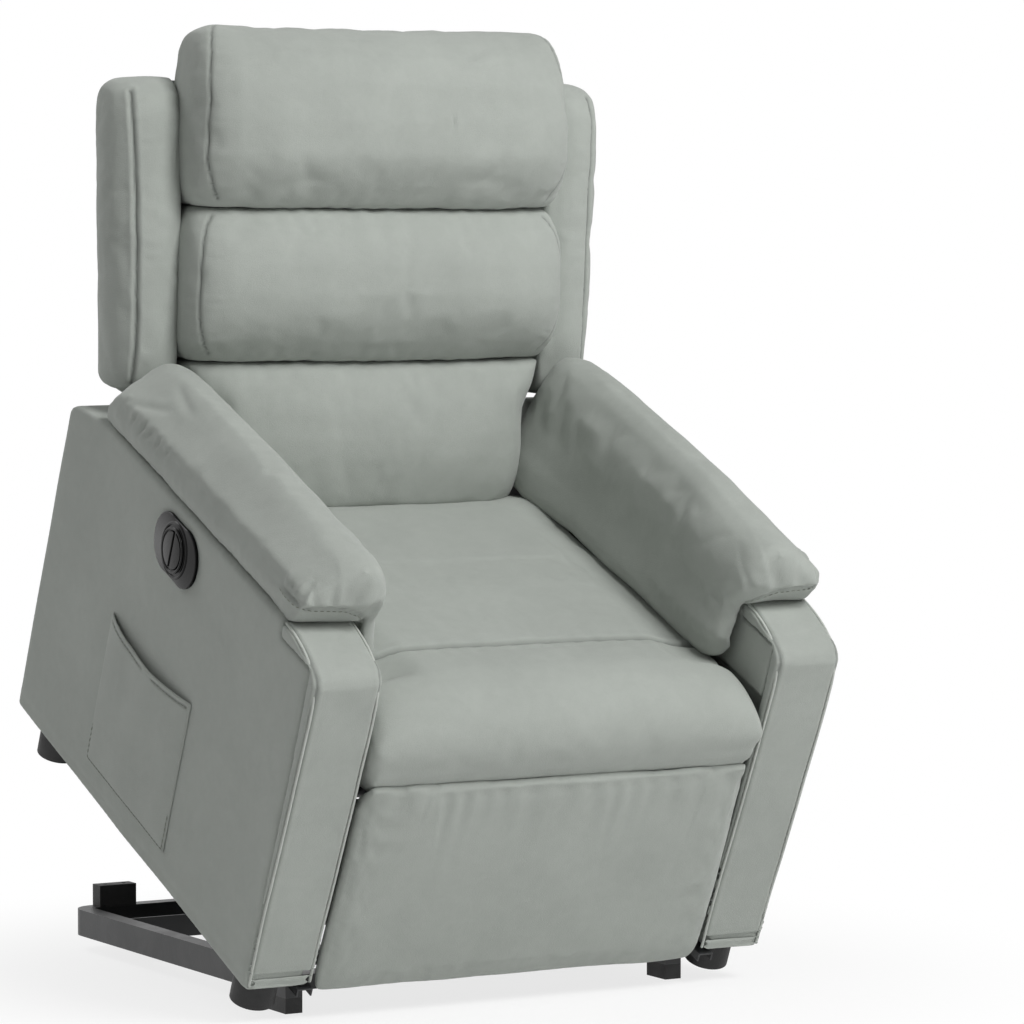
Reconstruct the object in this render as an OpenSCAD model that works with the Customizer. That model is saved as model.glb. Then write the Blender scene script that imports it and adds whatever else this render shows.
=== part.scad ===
// Lift recliner chair: a raised base, a lifting seat frame with side panels, a reclining back
// and a folding footrest. Drawn at the top of its lift, with the back upright.

/* [Stance] */
// Forward tilt of the seat at the top of the lift, degrees
lift_tilt = 23.5; // [20:0.5:24]
// Shift of the raised seat towards the rear
lift_y = -5.6; // [-12:0.2:0]
// Rise of the raised seat's front corner above the floor
lift_z = -3.9; // [-5:0.1:-2]
// Rake of the upright back from the vertical, degrees
back_rake = 19.5; // [15:0.5:22]
// Angle through which the back reclines, degrees
back_travel = 39; // [30:1:40]
// Angle through which the footrest opens, degrees
footrest_travel = 80; // [60:1:82]

/* [Side panels] */
// Width of the chair across its side panels
chair_w = 774; // [740:2:820]
// Thickness of one side panel
panel_w = 84; // [74:1:90]
// Length of a side panel, front to back
panel_len = 784.5; // [780:0.5:800]
// Height of a side panel without its feet
panel_h = 486; // [480:1:492]
// Height of a side panel's feet
foot_h = 44; // [36:1:50]
// Diameter of a side panel's feet
foot_d = 59; // [40:1:66]
// Distance of the feet from the panel's ends
foot_inset = 67; // [50:1:90]
// Radius of the side panel's upper rear corner
panel_corner_r = 25; // [10:1:40]
// Radius of the side panel's padded edges
panel_edge_r = 9; // [4:1:14]
// Front line of the side panel's board, behind the padded arm front
panel_front_y = 18; // [16:0.5:20]

/* [Arm pads] */
// Length of an arm pad
pad_len = 594; // [560:2:600]
// Front edge of an arm pad
pad_front_y = 92; // [92:1:106]
// Height of an arm pad's crest above the side panel
pad_rise = 95; // [80:1:100]
// Overhang of an arm pad past the side panel
pad_overhang = 11; // [6:1:16]

/* [Base] */
// Length of the base rails, front to back
base_len = 666.6; // [655:1:672]
// Distance of the base rails' front behind the side panels' front line
base_front_y = 48; // [46:1:56]
// Width of the base tube
base_tube_w = 24.4; // [22:0.2:26]
// Height of the base tube
base_tube_h = 36.6; // [34:0.2:38]
// Height of the blocks and feet under the base
base_foot_h = 20.4; // [16:0.2:21]
// Outer radius of the base's rear corners
base_corner_r = 35; // [30:1:50]
// Running gap between the base rails and the side panels
base_gap = 4.3; // [3:0.1:6]
// Length of a front block foot
base_block_len = 48; // [40:1:60]

/* [Lift linkage] */
// Height of the links' lower pivots above the base tube
link_pivot_rise = 17; // [16:0.5:20]
// Upper pivot of the rear link on the seat, front to back
rear_link_y = 600; // [590:1:606]
// Upper pivot of the rear link on the seat, height when seated
rear_link_z = 130; // [126:1:134]
// Upper pivot of the front link on the seat, front to back
front_link_y = 230; // [226:1:236]
// Upper pivot of the front link on the seat, height when seated
front_link_z = 125; // [122:1:128]
// Width of a lift link
link_w = 26; // [20:1:30]
// Thickness of a lift link
link_t = 6; // [4:0.5:7]
// Radius of the lift linkage's pins
link_pin_r = 7; // [5:0.5:8]
// Radius of the cross tubes that join left and right links
link_tube_r = 12; // [8:0.5:14]

/* [Seat frame] */
// Thickness of the seat frame's rails and link brackets
rail_t = 5; // [4:0.5:6]
// Radius of the seat frame's cross tubes
seat_tube_r = 12; // [10:0.5:13]
// Height of the seat frame's cross tubes, seated
seat_tube_z = 330; // [326:1:331]
// Height of the wooden seat deck's top, seated
deck_z = 372; // [370:1:374]
// Width of the wooden deck members
deck_w = 30; // [24:1:40]
// Number of sinuous springs in the deck
spring_count = 5; // [3:1:5]
// Number of bends in one sinuous spring
spring_bends = 12; // [8:2:14]
// Diameter of the spring wire
spring_wire = 3.5; // [3:0.1:4.5]

/* [Seat cushion] */
// Height of the seat at its rear line, seated
seat_back_z = 440; // [438:1:444]
// Height of the seat at the front seam, seated
seat_front_z = 457; // [452:1:462]
// Distance of the front seam behind the side panels' front line
seat_seam_y = 150; // [140:1:170]
// Reach of the seat's front roll from the footrest hinge
roll_reach = 88; // [80:1:88]

/* [Footrest] */
// Footrest hinge, front to back
footrest_y = 70; // [68:0.5:72]
// Footrest hinge, height when seated
footrest_z = 395; // [392:1:397]
// Height of the footrest pad's lower edge, seated
footrest_low_z = 41; // [40:1:60]
// Thickness of the footrest's board
board_t = 10; // [8:1:12]
// Thickness of the footrest's arms
footrest_arm_t = 4; // [3:0.5:5]

/* [Back] */
// Back hinge, front to back
back_y = 750; // [746:1:754]
// Back hinge, height when seated
back_z = 433; // [430:1:436]
// Length of the back from its hinge to the top of the headrest
back_len = 597; // [580:1:610]
// Length from the hinge to the seam between headrest and lumbar cushion
head_seam = 355; // [340:1:370]
// Length from the hinge to the seam between lumbar and lower cushion
lumbar_seam = 146; // [136:1:156]
// Length from the hinge to the top of the side bolsters
bolster_top = 525; // [505:1:545]
// Length from the hinge to the bottom of the side bolsters
bolster_low = 105; // [104:1:115]
// Depth of a side bolster
bolster_d = 112; // [90:1:116]
// Distance of the rear skirt's hinge behind the back's hinge
skirt_reach = 29; // [26:0.5:30]
// Width of the back's square tubes
upright_w = 25; // [22:1:26]

/* [Drives] */
// Lift motor's pivot on the base, front to back
lift_motor_y = 300; // [296:1:304]
// Lift motor's pivot above the base cross bar
lift_motor_rise = 20; // [18:0.5:24]
// Lift rod's pin on the seat, front to back
lift_eye_y = 280; // [276:1:284]
// Lift rod's pin on the seat, height when seated
lift_eye_z = 300; // [297:1:303]
// Recline motor's pivot on the seat, front to back
recline_motor_y = 400; // [396:1:404]
// Recline motor's pivot on the seat, height when seated
recline_motor_z = 260; // [256:1:264]
// Distance of the recline motor from the middle
recline_motor_x = 90; // [80:1:100]

/* [Controls] */
// Length of the oval control bezel
bezel_len = 127; // [110:1:140]
// Height of the oval control bezel
bezel_h = 80; // [70:1:90]
// Thickness of the control bezel
bezel_t = 8; // [7:0.5:9]
// Travel of a push button
button_travel = 2; // [1:0.5:2.5]

/* [Fits] */
// Radial clearance of a pin in its running bore
pin_fit = 0.05; // [0.02:0.01:0.1]
// Radial clearance of the linkages' open pivots
open_fit = 3.6; // [3.5:0.1:4.2]
// Clearance between soft pieces
soft_gap = 0.4; // [0.3:0.1:0.8]
// Clearance between the footrest's arms and the arm fronts
arm_gap = 1.5; // [1:0.5:2]

/* [Hidden] */
$fn = 48;

// Colours
fabric = [0.55, 0.58, 0.52];
steel = [0.06, 0.06, 0.065];
zinc = [0.6, 0.61, 0.62];
plastic = [0.03, 0.03, 0.032];
timber = [0.72, 0.58, 0.4];

// Stations across the chair, from the side panels inwards
side_x = chair_w/2;
panel_in = side_x - panel_w;
rail_in = panel_in - rail_t;
leg_in = rail_in - rail_t;
drive_out = panel_in - 7.5;
drive_in = drive_out - 5;
strip_in = panel_in - 12;
front_in = panel_in - 14;
arm_out = front_in - arm_gap;
arm_in = arm_out - footrest_arm_t;
seat_half = arm_in - arm_gap;
pad_half = arm_in - 3.5;
base_out = panel_in - base_gap;
base_in = base_out - base_tube_w;
bracket_in = panel_in - 14;
link_out = bracket_in - 3;
link_in = link_out - link_t;

// Heights of the base
tube_top = base_foot_h + base_tube_h;
link_pivot_z = tube_top + link_pivot_rise;
cross_bar_top = base_foot_h + 20;
base_back_y = base_front_y + base_len;
lift_motor_z = cross_bar_top + lift_motor_rise;
panel_top = foot_h + panel_h;

// A point of the seated chair (depth, height) at the top of the lift
function lifted(p) = [
    p[0]*cos(lift_tilt) - p[1]*sin(lift_tilt) + lift_y,
    p[0]*sin(lift_tilt) + p[1]*cos(lift_tilt) + lift_z];
// The lower pivot at height h of a link whose upper pivot p swings from seated to lifted
function lower_pivot(p, h) = let(q = lifted(p), m = (p + q)/2, d = q - p)
    [m[0] - (h - m[1])/d[0]*d[1], h];
function heading(a, b) = atan2(b[1] - a[1], b[0] - a[0]);
function polar(r, a) = r*[cos(a), sin(a)];

rear_upper = [rear_link_y, rear_link_z];
front_upper = [front_link_y, front_link_z];
rear_lower = lower_pivot(rear_upper, link_pivot_z);
front_lower = lower_pivot(front_upper, link_pivot_z);
lift_base = [lift_motor_y, lift_motor_z];
lift_eye = [lift_eye_y, lift_eye_z];
lift_long = norm(lifted(lift_eye) - lift_base);
lift_short = norm(lift_eye - lift_base);
lift_heading = heading(lift_base, lifted(lift_eye));
back_pivot = [back_y, back_z];
footrest_pivot = [footrest_y, footrest_z];
lever_r = 76;
crank_r = 36;
lever_pin = back_pivot + polar(lever_r, -110);
crank_pin = footrest_pivot + polar(crank_r, -89);
recline_base = [recline_motor_y, recline_motor_z];
motor_lever_r = 60;
recline_eye = back_pivot + polar(motor_lever_r, -80);
recline_long = norm(recline_eye - recline_base);
recline_short = norm(back_pivot + polar(motor_lever_r, -80 - back_travel) - recline_base);
recline_heading = heading(recline_base, recline_eye);
skirt_pivot = [back_y + skirt_reach, 520];
lip_z = panel_top - 24;

// The part's origin lies under the middle of its outline
front_reach = lifted([-6.3, 492])[0];
origin_y = (front_reach + base_back_y)/2;

module on_floor() translate([0, -origin_y, 0]) children();
module on_seat() on_floor() translate([0, lift_y, lift_z]) rotate([lift_tilt, 0, 0]) children();
module on_back() on_seat() translate([0, back_y, back_z]) rotate([-back_rake, 0, 0]) children();
module both_sides() {
    children();
    mirror([1, 0, 0]) children();
}
// A flat shape drawn in depth and height, standing from x0 to x1
module slab(x0, x1) translate([x0, 0, 0]) rotate([90, 0, 90]) linear_extrude(x1 - x0) children();
module rod_x(p, r, x0, x1)
    translate([x0, p[0], p[1]]) rotate([0, 90, 0]) cylinder(r = r, h = x1 - x0);
// A bar with round ends; its sides lie strap_step inside the ends' width
strap_step = 0.5;
module strap(a, b, w) {
    translate(a) circle(d = w);
    translate(b) circle(d = w);
    translate(a) rotate(heading(a, b)) translate([0, strap_step - w/2])
        square([norm(b - a), w - 2*strap_step]);
}
module rounded(size, r) {
    translate([r, 0]) square([size[0] - 2*r, size[1]]);
    translate([0, r]) square([size[0], size[1] - 2*r]);
    for (x = [r, size[0] - r], y = [r, size[1] - r]) translate([x, y]) circle(r = r);
}

function total(v, i = 0) = i == len(v) - 1 ? v[i] : v[i] + total(v, i + 1);
function mean_point(v) = total(v)/len(v);

// The middle of an end face, or the same face's point at the coordinates that core gives
function in_plane(p, core) = core == undef ? p : [for (k = [0:2]) core[k] == undef ? p[k] : core[k]];

// A closed skin over a row of rings with equal numbers of points; the end faces are fans
module loft(rings, core = undef) {
    m = len(rings);
    n = len(rings[0]);
    low_end = mean_point(rings[0]);
    high_end = mean_point(rings[m - 1]);
    points = concat([for (r = rings, p = r) p], [in_plane(low_end, core), in_plane(high_end, core)]);
    bands = [for (i = [0:m - 2], j = [0:n - 1]) let(a = i*n + j, b = i*n + (j + 1)%n)
        each [[a, a + n, b], [b, a + n, b + n]]];
    low = [for (j = [0:n - 1]) [j, (j + 1)%n, m*n]];
    high = [for (j = [0:n - 1]) [(m - 1)*n + (j + 1)%n, (m - 1)*n + j, m*n + 1]];
    polyhedron(points, concat(bands, low, high), convexity = 4);
}

// ---- Base -------------------------------------------------------------------------------

module base_plan(inset) {
    r = base_corner_r - inset;
    x = base_out - inset;
    translate([-x, 0]) square([2*x, base_back_y - inset - r]);
    translate([-x + r, 0]) square([2*(x - r), base_back_y - inset]);
    for (s = [-1, 1]) translate([s*(x - r), base_back_y - inset - r]) circle(r = r);
}
module base_frame() color(steel) on_floor() translate([0, 0, base_foot_h])
    linear_extrude(base_tube_h) difference() {
        intersection() {
            base_plan(0);
            translate([-base_out, base_front_y]) square([2*base_out, base_len]);
        }
        base_plan(base_tube_w);
    }
module base_cross_bars() color(steel) on_floor() for (y = [120, lift_motor_y])
    difference() {
        translate([-base_in, y - 20, base_foot_h]) cube([2*base_in, 40, 20]);
        translate([-base_in - 1, y - 17.5, base_foot_h + 2.5]) cube([2*base_in + 2, 35, 15]);
    }
cross_plate_y = 566;
module base_plates() color(steel) on_floor() {
    translate([-base_in, cross_plate_y, base_foot_h + 6]) cube([2*base_in, 3, base_tube_h - 6]);
    translate([-base_in, cross_plate_y + 3, base_foot_h + 6])
        cube([2*base_in, base_back_y - base_tube_w - cross_plate_y - 3 - 12, 3]);
}
module base_feet() color(plastic) on_floor() {
    both_sides() translate([base_in, base_front_y, 0])
        cube([base_tube_w, base_block_len, base_foot_h]);
    both_sides() translate([150, base_back_y - base_tube_w/2, 0]) cylinder(r = 12, h = base_foot_h);
}
module rest_blocks() color(plastic) on_floor() both_sides()
    translate([207, base_back_y - base_tube_w, tube_top]) difference() {
        cube([56, base_tube_w, 30]);
        for (x = [14, 42]) translate([x, base_tube_w/2, -1]) cylinder(r = 3, h = 32);
    }
bracket_r = 15;
module link_brackets() color(steel) on_floor() {
    both_sides() slab(bracket_in, bracket_in + rail_t) for (p = [front_lower, rear_lower])
        difference() {
            union() {
                translate(p) circle(r = bracket_r);
                translate([p[0] - bracket_r, tube_top]) square([2*bracket_r, link_pivot_rise]);
            }
            translate(p) circle(r = link_pin_r + pin_fit);
        }
    both_sides() slab(15, 19) difference() {
        union() {
            translate(lift_base) circle(r = 13);
            translate([lift_motor_y - 13, cross_bar_top]) square([26, lift_motor_rise]);
        }
        translate(lift_base) circle(r = 6 + pin_fit);
    }
}
module base_pins() color(zinc) on_floor() {
    both_sides() for (p = [front_lower, rear_lower]) {
        rod_x(p, link_pin_r, link_in - 2, bracket_in + rail_t);
        rod_x(p, link_pin_r + 3, bracket_in + rail_t, bracket_in + rail_t + 3);
        rod_x(p, link_pin_r + 3, link_in - 5, link_in - 2);
    }
    rod_x(lift_base, 6, -19, 19);
    both_sides() rod_x(lift_base, 9, 19, 22);
}

// ---- Lift links -------------------------------------------------------------------------

// The pair of links from a lower to an upper pivot, at the top of the lift
module lift_links(low, up, upper_fit) both_sides() slab(link_in, link_out) difference() {
    strap(low, lifted(up), link_w);
    translate(low) circle(r = link_pin_r + pin_fit);
    translate(lifted(up)) circle(r = link_pin_r + upper_fit);
}
module link_tube(low, up, share)
    rod_x(low + share*(lifted(up) - low), link_tube_r, -link_in, link_in);
module rear_lift_links() color(steel) on_floor() lift_links(rear_lower, rear_upper, pin_fit);
module rear_link_tube() color(steel) on_floor() link_tube(rear_lower, rear_upper, 0.6);
module front_lift_links() color(steel) on_floor()
    lift_links(front_lower, front_upper, open_fit - 1);
module front_link_tube() color(steel) on_floor() link_tube(front_lower, front_upper, 0.5);

// ---- Linear drives, each along +Z from its pivot ----------------------------------------

module drive_motor(short, housing, tube_r, rod_r, can_r, can_len) {
    difference() {
        union() {
            translate([-10, 0, 0]) rotate([0, 90, 0]) cylinder(r = 12, h = 20);
            translate([-10, -12, 0]) cube([20, 24, 28]);
            translate([-housing/2, -housing/2, 28]) cube([housing, housing, 60]);
            translate([0, 0, 70]) cylinder(r = tube_r, h = short - 106);
            translate([housing/2, 0, 58]) rotate([0, 90, 0]) cylinder(r = can_r, h = can_len);
            translate([housing/2 + can_len, 0, 58]) rotate([0, 90, 0])
                cylinder(r = can_r - 4, h = 6);
        }
        translate([-11, 0, 0]) rotate([0, 90, 0]) cylinder(r = 6 + pin_fit, h = 22);
        translate([0, 0, 48]) cylinder(r = rod_r + pin_fit, h = short);
    }
}
module drive_rod(long, short, rod_r) difference() {
    union() {
        translate([0, 0, long - short + 54]) cylinder(r = rod_r, h = short - 60);
        translate([-8, 0, long]) rotate([0, 90, 0]) cylinder(r = 13, h = 16);
    }
    translate([-9, 0, long]) rotate([0, 90, 0]) cylinder(r = 6 + open_fit - 1, h = 18);
}
module on_lift_line() on_floor() translate([0, lift_base[0], lift_base[1]])
    rotate([lift_heading - 90, 0, 0]) children();
module on_recline_line() on_seat()
    translate([recline_motor_x, recline_base[0], recline_base[1]])
    rotate([recline_heading - 90, 0, 0]) children();
module lift_motor() color(plastic) on_lift_line() drive_motor(lift_short, 60, 18, 11, 29, 112);
module lift_rod() color(zinc) on_lift_line() drive_rod(lift_long, lift_short, 11);
module recline_motor() color(plastic) on_recline_line()
    drive_motor(recline_short, 50, 13, 9, 23, 96);
module recline_rod() color(zinc) on_recline_line() difference() {
    union() {
        translate([0, 0, recline_long - recline_short + 54]) cylinder(r = 9, h = recline_short - 60);
        translate([-8, 0, recline_long]) rotate([0, 90, 0]) cylinder(r = 11.5, h = 16);
    }
    translate([-9, 0, recline_long]) rotate([0, 90, 0]) cylinder(r = 5 + open_fit + 0.8, h = 18);
}

// ---- Seat frame -------------------------------------------------------------------------

rear_tube = [655, seat_tube_z - 40];
seat_tube_points = [[150, seat_tube_z], [280, seat_tube_z], [400, seat_tube_z], rear_tube];
module seat_rails() color(steel) on_seat() both_sides() slab(rail_in, panel_in) difference() {
    union() {
        polygon([[footrest_y - 10, 318], [back_y, 318], [back_y + 18, 350], [back_y + 18, back_z],
            [back_y - 24, back_z - 8], [back_y - 60, 400], [footrest_y + 60, 400],
            [footrest_y, footrest_z + 15]]);
        translate(footrest_pivot) circle(r = 16);
        translate(back_pivot) circle(r = 22);
        strap([rear_tube[0], seat_tube_z + 10], rear_tube, 36);
    }
    translate(footrest_pivot) circle(r = 7 + pin_fit);
    translate(back_pivot) circle(r = 8 + pin_fit);
    for (y = [200:110:640]) translate([y, 366]) circle(r = 9);
}
module seat_link_brackets() color(steel) on_seat() both_sides() slab(leg_in, rail_in)
    for (p = [front_upper, rear_upper]) difference() {
        union() {
            translate(p) circle(r = 18);
            polygon([[p[0] - 18, p[1]], [p[0] + 18, p[1]], [p[0] + 24, 345], [p[0] - 24, 345]]);
        }
        translate(p) circle(r = link_pin_r + pin_fit);
        for (z = [200, 250, 300]) translate([p[0], z]) circle(r = 8);
    }
module lug(x0, x1, from, pin, r, pin_r) slab(x0, x1) difference() {
    strap(from, pin, 2*r);
    translate(pin) circle(r = pin_r);
}
module seat_tubes() color(steel) on_seat() {
    for (p = seat_tube_points) rod_x(p, seat_tube_r, -rail_in, rail_in);
    both_sides() lug(12, 17, [lift_eye_y, seat_tube_z], lift_eye, 12, 6 + pin_fit);
    for (s = [-1, 1]) translate([recline_motor_x + s*14.5 - 2.5, 0, 0])
        lug(0, 5, [recline_motor_y, seat_tube_z], recline_base, 12, 6 + pin_fit);
}
module seat_pins() color(zinc) on_seat() {
    both_sides() {
        rod_x(footrest_pivot, 7, arm_in - 1, panel_in);
        rod_x(back_pivot, 8, arm_in + 0.2, panel_in);
        for (p = [front_upper, rear_upper]) {
            rod_x(p, link_pin_r, link_in - 2, rail_in);
            rod_x(p, link_pin_r + 3, link_out + 1, leg_in);
            rod_x(p, link_pin_r + 3, link_in - 5, link_in - 2);
        }
    }
    rod_x(lift_eye, 6, -17, 17);
    rod_x(recline_base, 6, recline_motor_x - 17, recline_motor_x + 17);
}
deck_front = 105;
deck_rear = 612;
notch_half = 20;
deck_half = seat_half - 4;
deck_low = seat_tube_z + seat_tube_r;
module deck_cross_rails() color(timber) on_seat() for (y = [deck_front, deck_rear - deck_w])
    difference() {
        translate([-deck_half, y, deck_low]) cube([2*deck_half, deck_w, deck_z - deck_low]);
        if (y > deck_front) translate([recline_motor_x - notch_half, y - 1, deck_low - 1])
            cube([2*notch_half, deck_w + 2, 17]);
    }
module deck_side_rails() color(timber) on_seat() both_sides()
    translate([deck_half - deck_w, deck_front + deck_w, deck_low])
        cube([deck_w, deck_rear - deck_front - 2*deck_w, deck_z - deck_low]);
spring_len = deck_rear - deck_front - 2*deck_w;
spring_r = spring_len/spring_bends/2;
module sinuous_spring() for (i = [0:spring_bends - 1])
    translate([0, deck_front + deck_w + spring_r*(2*i + 1), deck_z - 8]) linear_extrude(spring_wire)
        intersection() {
            difference() {
                circle(r = spring_r + spring_wire/2);
                circle(r = spring_r - spring_wire/2);
            }
            translate([i%2 == 0 ? 0 : -2*spring_r, -spring_r - (i == 0 ? 0 : spring_wire/2)])
                square([2*spring_r, 2*spring_r
                    + (i == 0 || i == spring_bends - 1 ? spring_wire/2 : spring_wire)]);
        }
module seat_springs() color(zinc) on_seat() for (i = [0:spring_count - 1])
    translate([(i - (spring_count - 1)/2)*(2*deck_half - 2*deck_w)/spring_count, 0, 0])
        sinuous_spring();
module control_box() color(plastic) on_seat() translate([-190, 412 + soft_gap, 300]) difference() {
    cube([120, 96, 36]);
    for (x = [20:16:100]) translate([x, 20, -1]) cube([6, 56, 3]);
}
module power_inlet() color(plastic) on_seat() translate([-143, 508 + soft_gap, 308])
    difference() {
        cube([26, 14, 20]);
        translate([2, 3, 2]) cube([22, 12, 16]);
    }

// ---- Side panels, arm fronts, arm pads --------------------------------------------------

lip_y = 105;
strip_low = seat_tube_z + 100;
strip_back = pad_front_y + pad_len;
module side_panel() slab(strip_in, side_x) union() {
    polygon([[panel_front_y, foot_h], [panel_len, foot_h], [panel_len, panel_top - panel_corner_r],
        [panel_len - panel_corner_r, panel_top], [lip_y, panel_top], [lip_y, lip_z],
        [panel_front_y, lip_z]]);
    translate([panel_len, panel_top] - panel_corner_r*[1, 1]) circle(r = panel_corner_r);
}
module padded_panel() difference() {
    intersection() {
        side_panel();
        translate([strip_in - 40, panel_front_y, 0]) linear_extrude(panel_top + 1)
            rounded([side_x - strip_in + 40, panel_len - panel_front_y], panel_edge_r);
        translate([0, panel_len + 1, 0]) rotate([90, 0, 0]) linear_extrude(panel_len + 2)
            translate([strip_in - 40, foot_h])
                rounded([side_x - strip_in + 40, panel_h + 60], panel_edge_r);
    }
    translate([strip_in - 1, 0, 0]) cube([panel_in - strip_in + 1, panel_len + 1, strip_low]);
    translate([strip_in - 1, strip_back, 0])
        cube([panel_in - strip_in + 1, panel_len, panel_top + 1]);
}
module right_side_panel() color(fabric) on_seat() mirror([1, 0, 0]) padded_panel();
module left_side_panel() color(fabric) on_seat() padded_panel();
module panel_feet() color(plastic) on_seat() both_sides() for (y = [foot_inset, panel_len - foot_inset])
    translate([side_x - 44, y, 0]) {
        cylinder(d = foot_d, h = foot_h - 6);
        cylinder(d = foot_d - 12, h = foot_h);
    }

// Short steel channels under the panels' inner front corners, open below
channel_w = 22;
channel_drop = 11;
channel_len = 30;
channel_t = 2;
module panel_channels() color(steel) on_seat() both_sides()
    translate([front_in + 1, panel_front_y - 6, foot_h - channel_drop]) difference() {
        cube([channel_w, channel_len, channel_drop]);
        translate([channel_t, -1, -1])
            cube([channel_w - 2*channel_t, channel_len - channel_t + 1, channel_drop - channel_t + 1]);
    }

// Depth and height of the arm front's outline, from its foot up and over its lip
front_line = [[15, foot_h], [10, foot_h + 0.24*panel_h], [3, foot_h + 0.47*panel_h],
    [-2, foot_h + 0.73*panel_h], [-5, lip_z - 15], [0, lip_z - 6], [9, lip_z + 1], [38, lip_z + 13],
    [70, panel_top - 3], [lip_y - 14, panel_top - 0.5], [lip_y - soft_gap, panel_top - 0.5]];
arm_front_back = panel_front_y - soft_gap;
crown_r = 11;
crown_steps = [0, 1.5, 4.5, 11, 26];
function crown(t) = t >= crown_r ? 0 : 0.6*(crown_r - sqrt(crown_r*crown_r - pow(crown_r - t, 2)));
function arm_front_ring(x, e) = concat(
    [[x, arm_front_back, foot_h], [x, arm_front_back, lip_z + soft_gap],
        [x, lip_y - soft_gap, lip_z + soft_gap]],
    [for (i = [len(front_line) - 1:-1:0]) let(p = front_line[i])
        p[1] > lip_z ? [x, min(p[0] + e*0.5, lip_y - soft_gap), max(p[1] - e, lip_z + 2)]
        : [x, min(p[0] + e, arm_front_back - 0.5), p[1]]]);
module arm_front() loft(concat(
    [for (t = crown_steps) arm_front_ring(front_in + t, crown(t))],
    [for (i = [len(crown_steps) - 1:-1:0]) let(t = crown_steps[i])
        arm_front_ring(side_x - t, crown(t))]), [undef, panel_front_y - 1.5, lip_z + 1.2]);
module right_arm_front() color(fabric) on_seat() mirror([1, 0, 0]) arm_front();
module left_arm_front() color(fabric) on_seat() arm_front();

pad_low = seat_back_z + 1.4;
pad_flat = panel_top + soft_gap;
pad_side = front_in - soft_gap;
// Cross-section of an arm pad, clockwise from its outer lower edge; a shifts its inner flap
function pad_section(a) = [[side_x, pad_flat], [pad_side, pad_flat], [pad_side, pad_low + 10],
    [pad_side - 10, pad_low], [strip_in - 28 - a, pad_low], [strip_in - 41 - a, pad_low + 20],
    [strip_in - 34 - a, pad_low + 60], [strip_in - 30 - a, pad_low + 100],
    [strip_in - 24 - a/2, panel_top + pad_rise - 40], [strip_in - 10, panel_top + pad_rise - 12],
    [strip_in + 12, panel_top + pad_rise], [strip_in + 36, panel_top + pad_rise - 5],
    [side_x - 36, panel_top + pad_rise - 23], [side_x - 8, panel_top + pad_rise - 42],
    [side_x + pad_overhang - 1, panel_top + 38], [side_x + pad_overhang, panel_top + 20],
    [side_x + 5, panel_top + 5]];
pad_mid = [strip_in + 34, panel_top + 28];
// Place along the pad, from 0 to 1, and fullness of the section there
pad_stations = [[0, 0.72], [0.006, 0.84], [0.022, 0.93], [0.055, 0.99], [0.15, 1.01], [0.32, 0.99],
    [0.5, 1.01], [0.68, 0.99], [0.84, 1], [0.93, 0.96], [0.975, 0.87], [1, 0.74]];
function seated(p) = p[1] < pad_flat
    ? [min(p[0], pad_side), max(p[1], pad_low)]
    : [p[0], max(p[1], pad_flat)];
// Rearmost depth of the pad at a height, in front of the side bolsters
function pad_limit(z) = z < panel_top + 28 ? 1000
    : back_y + ((z - back_z)*sin(back_rake) - bolster_d - 13)/cos(back_rake);
function pad_ring(t, k) = [for (i = [0:16]) let(c = pad_section(12*t)[i],
        p = i == 0 ? [side_x, pad_flat] : i == 1 ? [pad_side, pad_flat]
            : seated(pad_mid + k*(c - pad_mid)))
    [p[0], min(pad_front_y + t*pad_len, pad_limit(p[1])), p[1]]];
module arm_pad() loft([for (s = pad_stations) pad_ring(s[0], s[1])],
    [pad_side - 4, undef, pad_flat + 14]);
module right_arm_pad() color(fabric) on_seat() mirror([1, 0, 0]) arm_pad();
module left_arm_pad() color(fabric) on_seat() arm_pad();

// ---- Seat cushion with its front roll ---------------------------------------------------

cushion_low = deck_z + soft_gap;
// Depth, top and bottom of the cushion from the front roll to the back
roll_low = footrest_z - 58;
seat_stations = [
    [footrest_y - roll_reach + 0.3, footrest_z + 6, footrest_z - 12],
    [footrest_y - roll_reach + 4, footrest_z + 22, footrest_z - 32],
    [footrest_y - 76, footrest_z + 38, footrest_z - 44],
    [footrest_y - 56, footrest_z + 56, footrest_z - 65],
    [footrest_y - 32, footrest_z + 66, footrest_z - 76],
    [footrest_y + 4, footrest_z + 71, footrest_z - 72],
    [deck_front - 14, footrest_z + 69, footrest_z - 50],
    [deck_front - soft_gap - 0.2, seat_front_z + 6, footrest_z - 40],
    [deck_front - soft_gap, seat_front_z + 6, cushion_low],
    [seat_seam_y - 14, seat_front_z + 2, cushion_low],
    [seat_seam_y, seat_front_z - 4, cushion_low],
    [seat_seam_y + 16, seat_front_z + 2, cushion_low],
    [300, seat_front_z + 4, cushion_low],
    [460, seat_front_z - 6, cushion_low],
    [560, seat_back_z + 3, cushion_low],
    [590, seat_back_z - 2, cushion_low],
    [622, seat_back_z - 16, cushion_low],
    [640, seat_back_z - 34, cushion_low]];
arm_edge = strip_in - 63;
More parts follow.
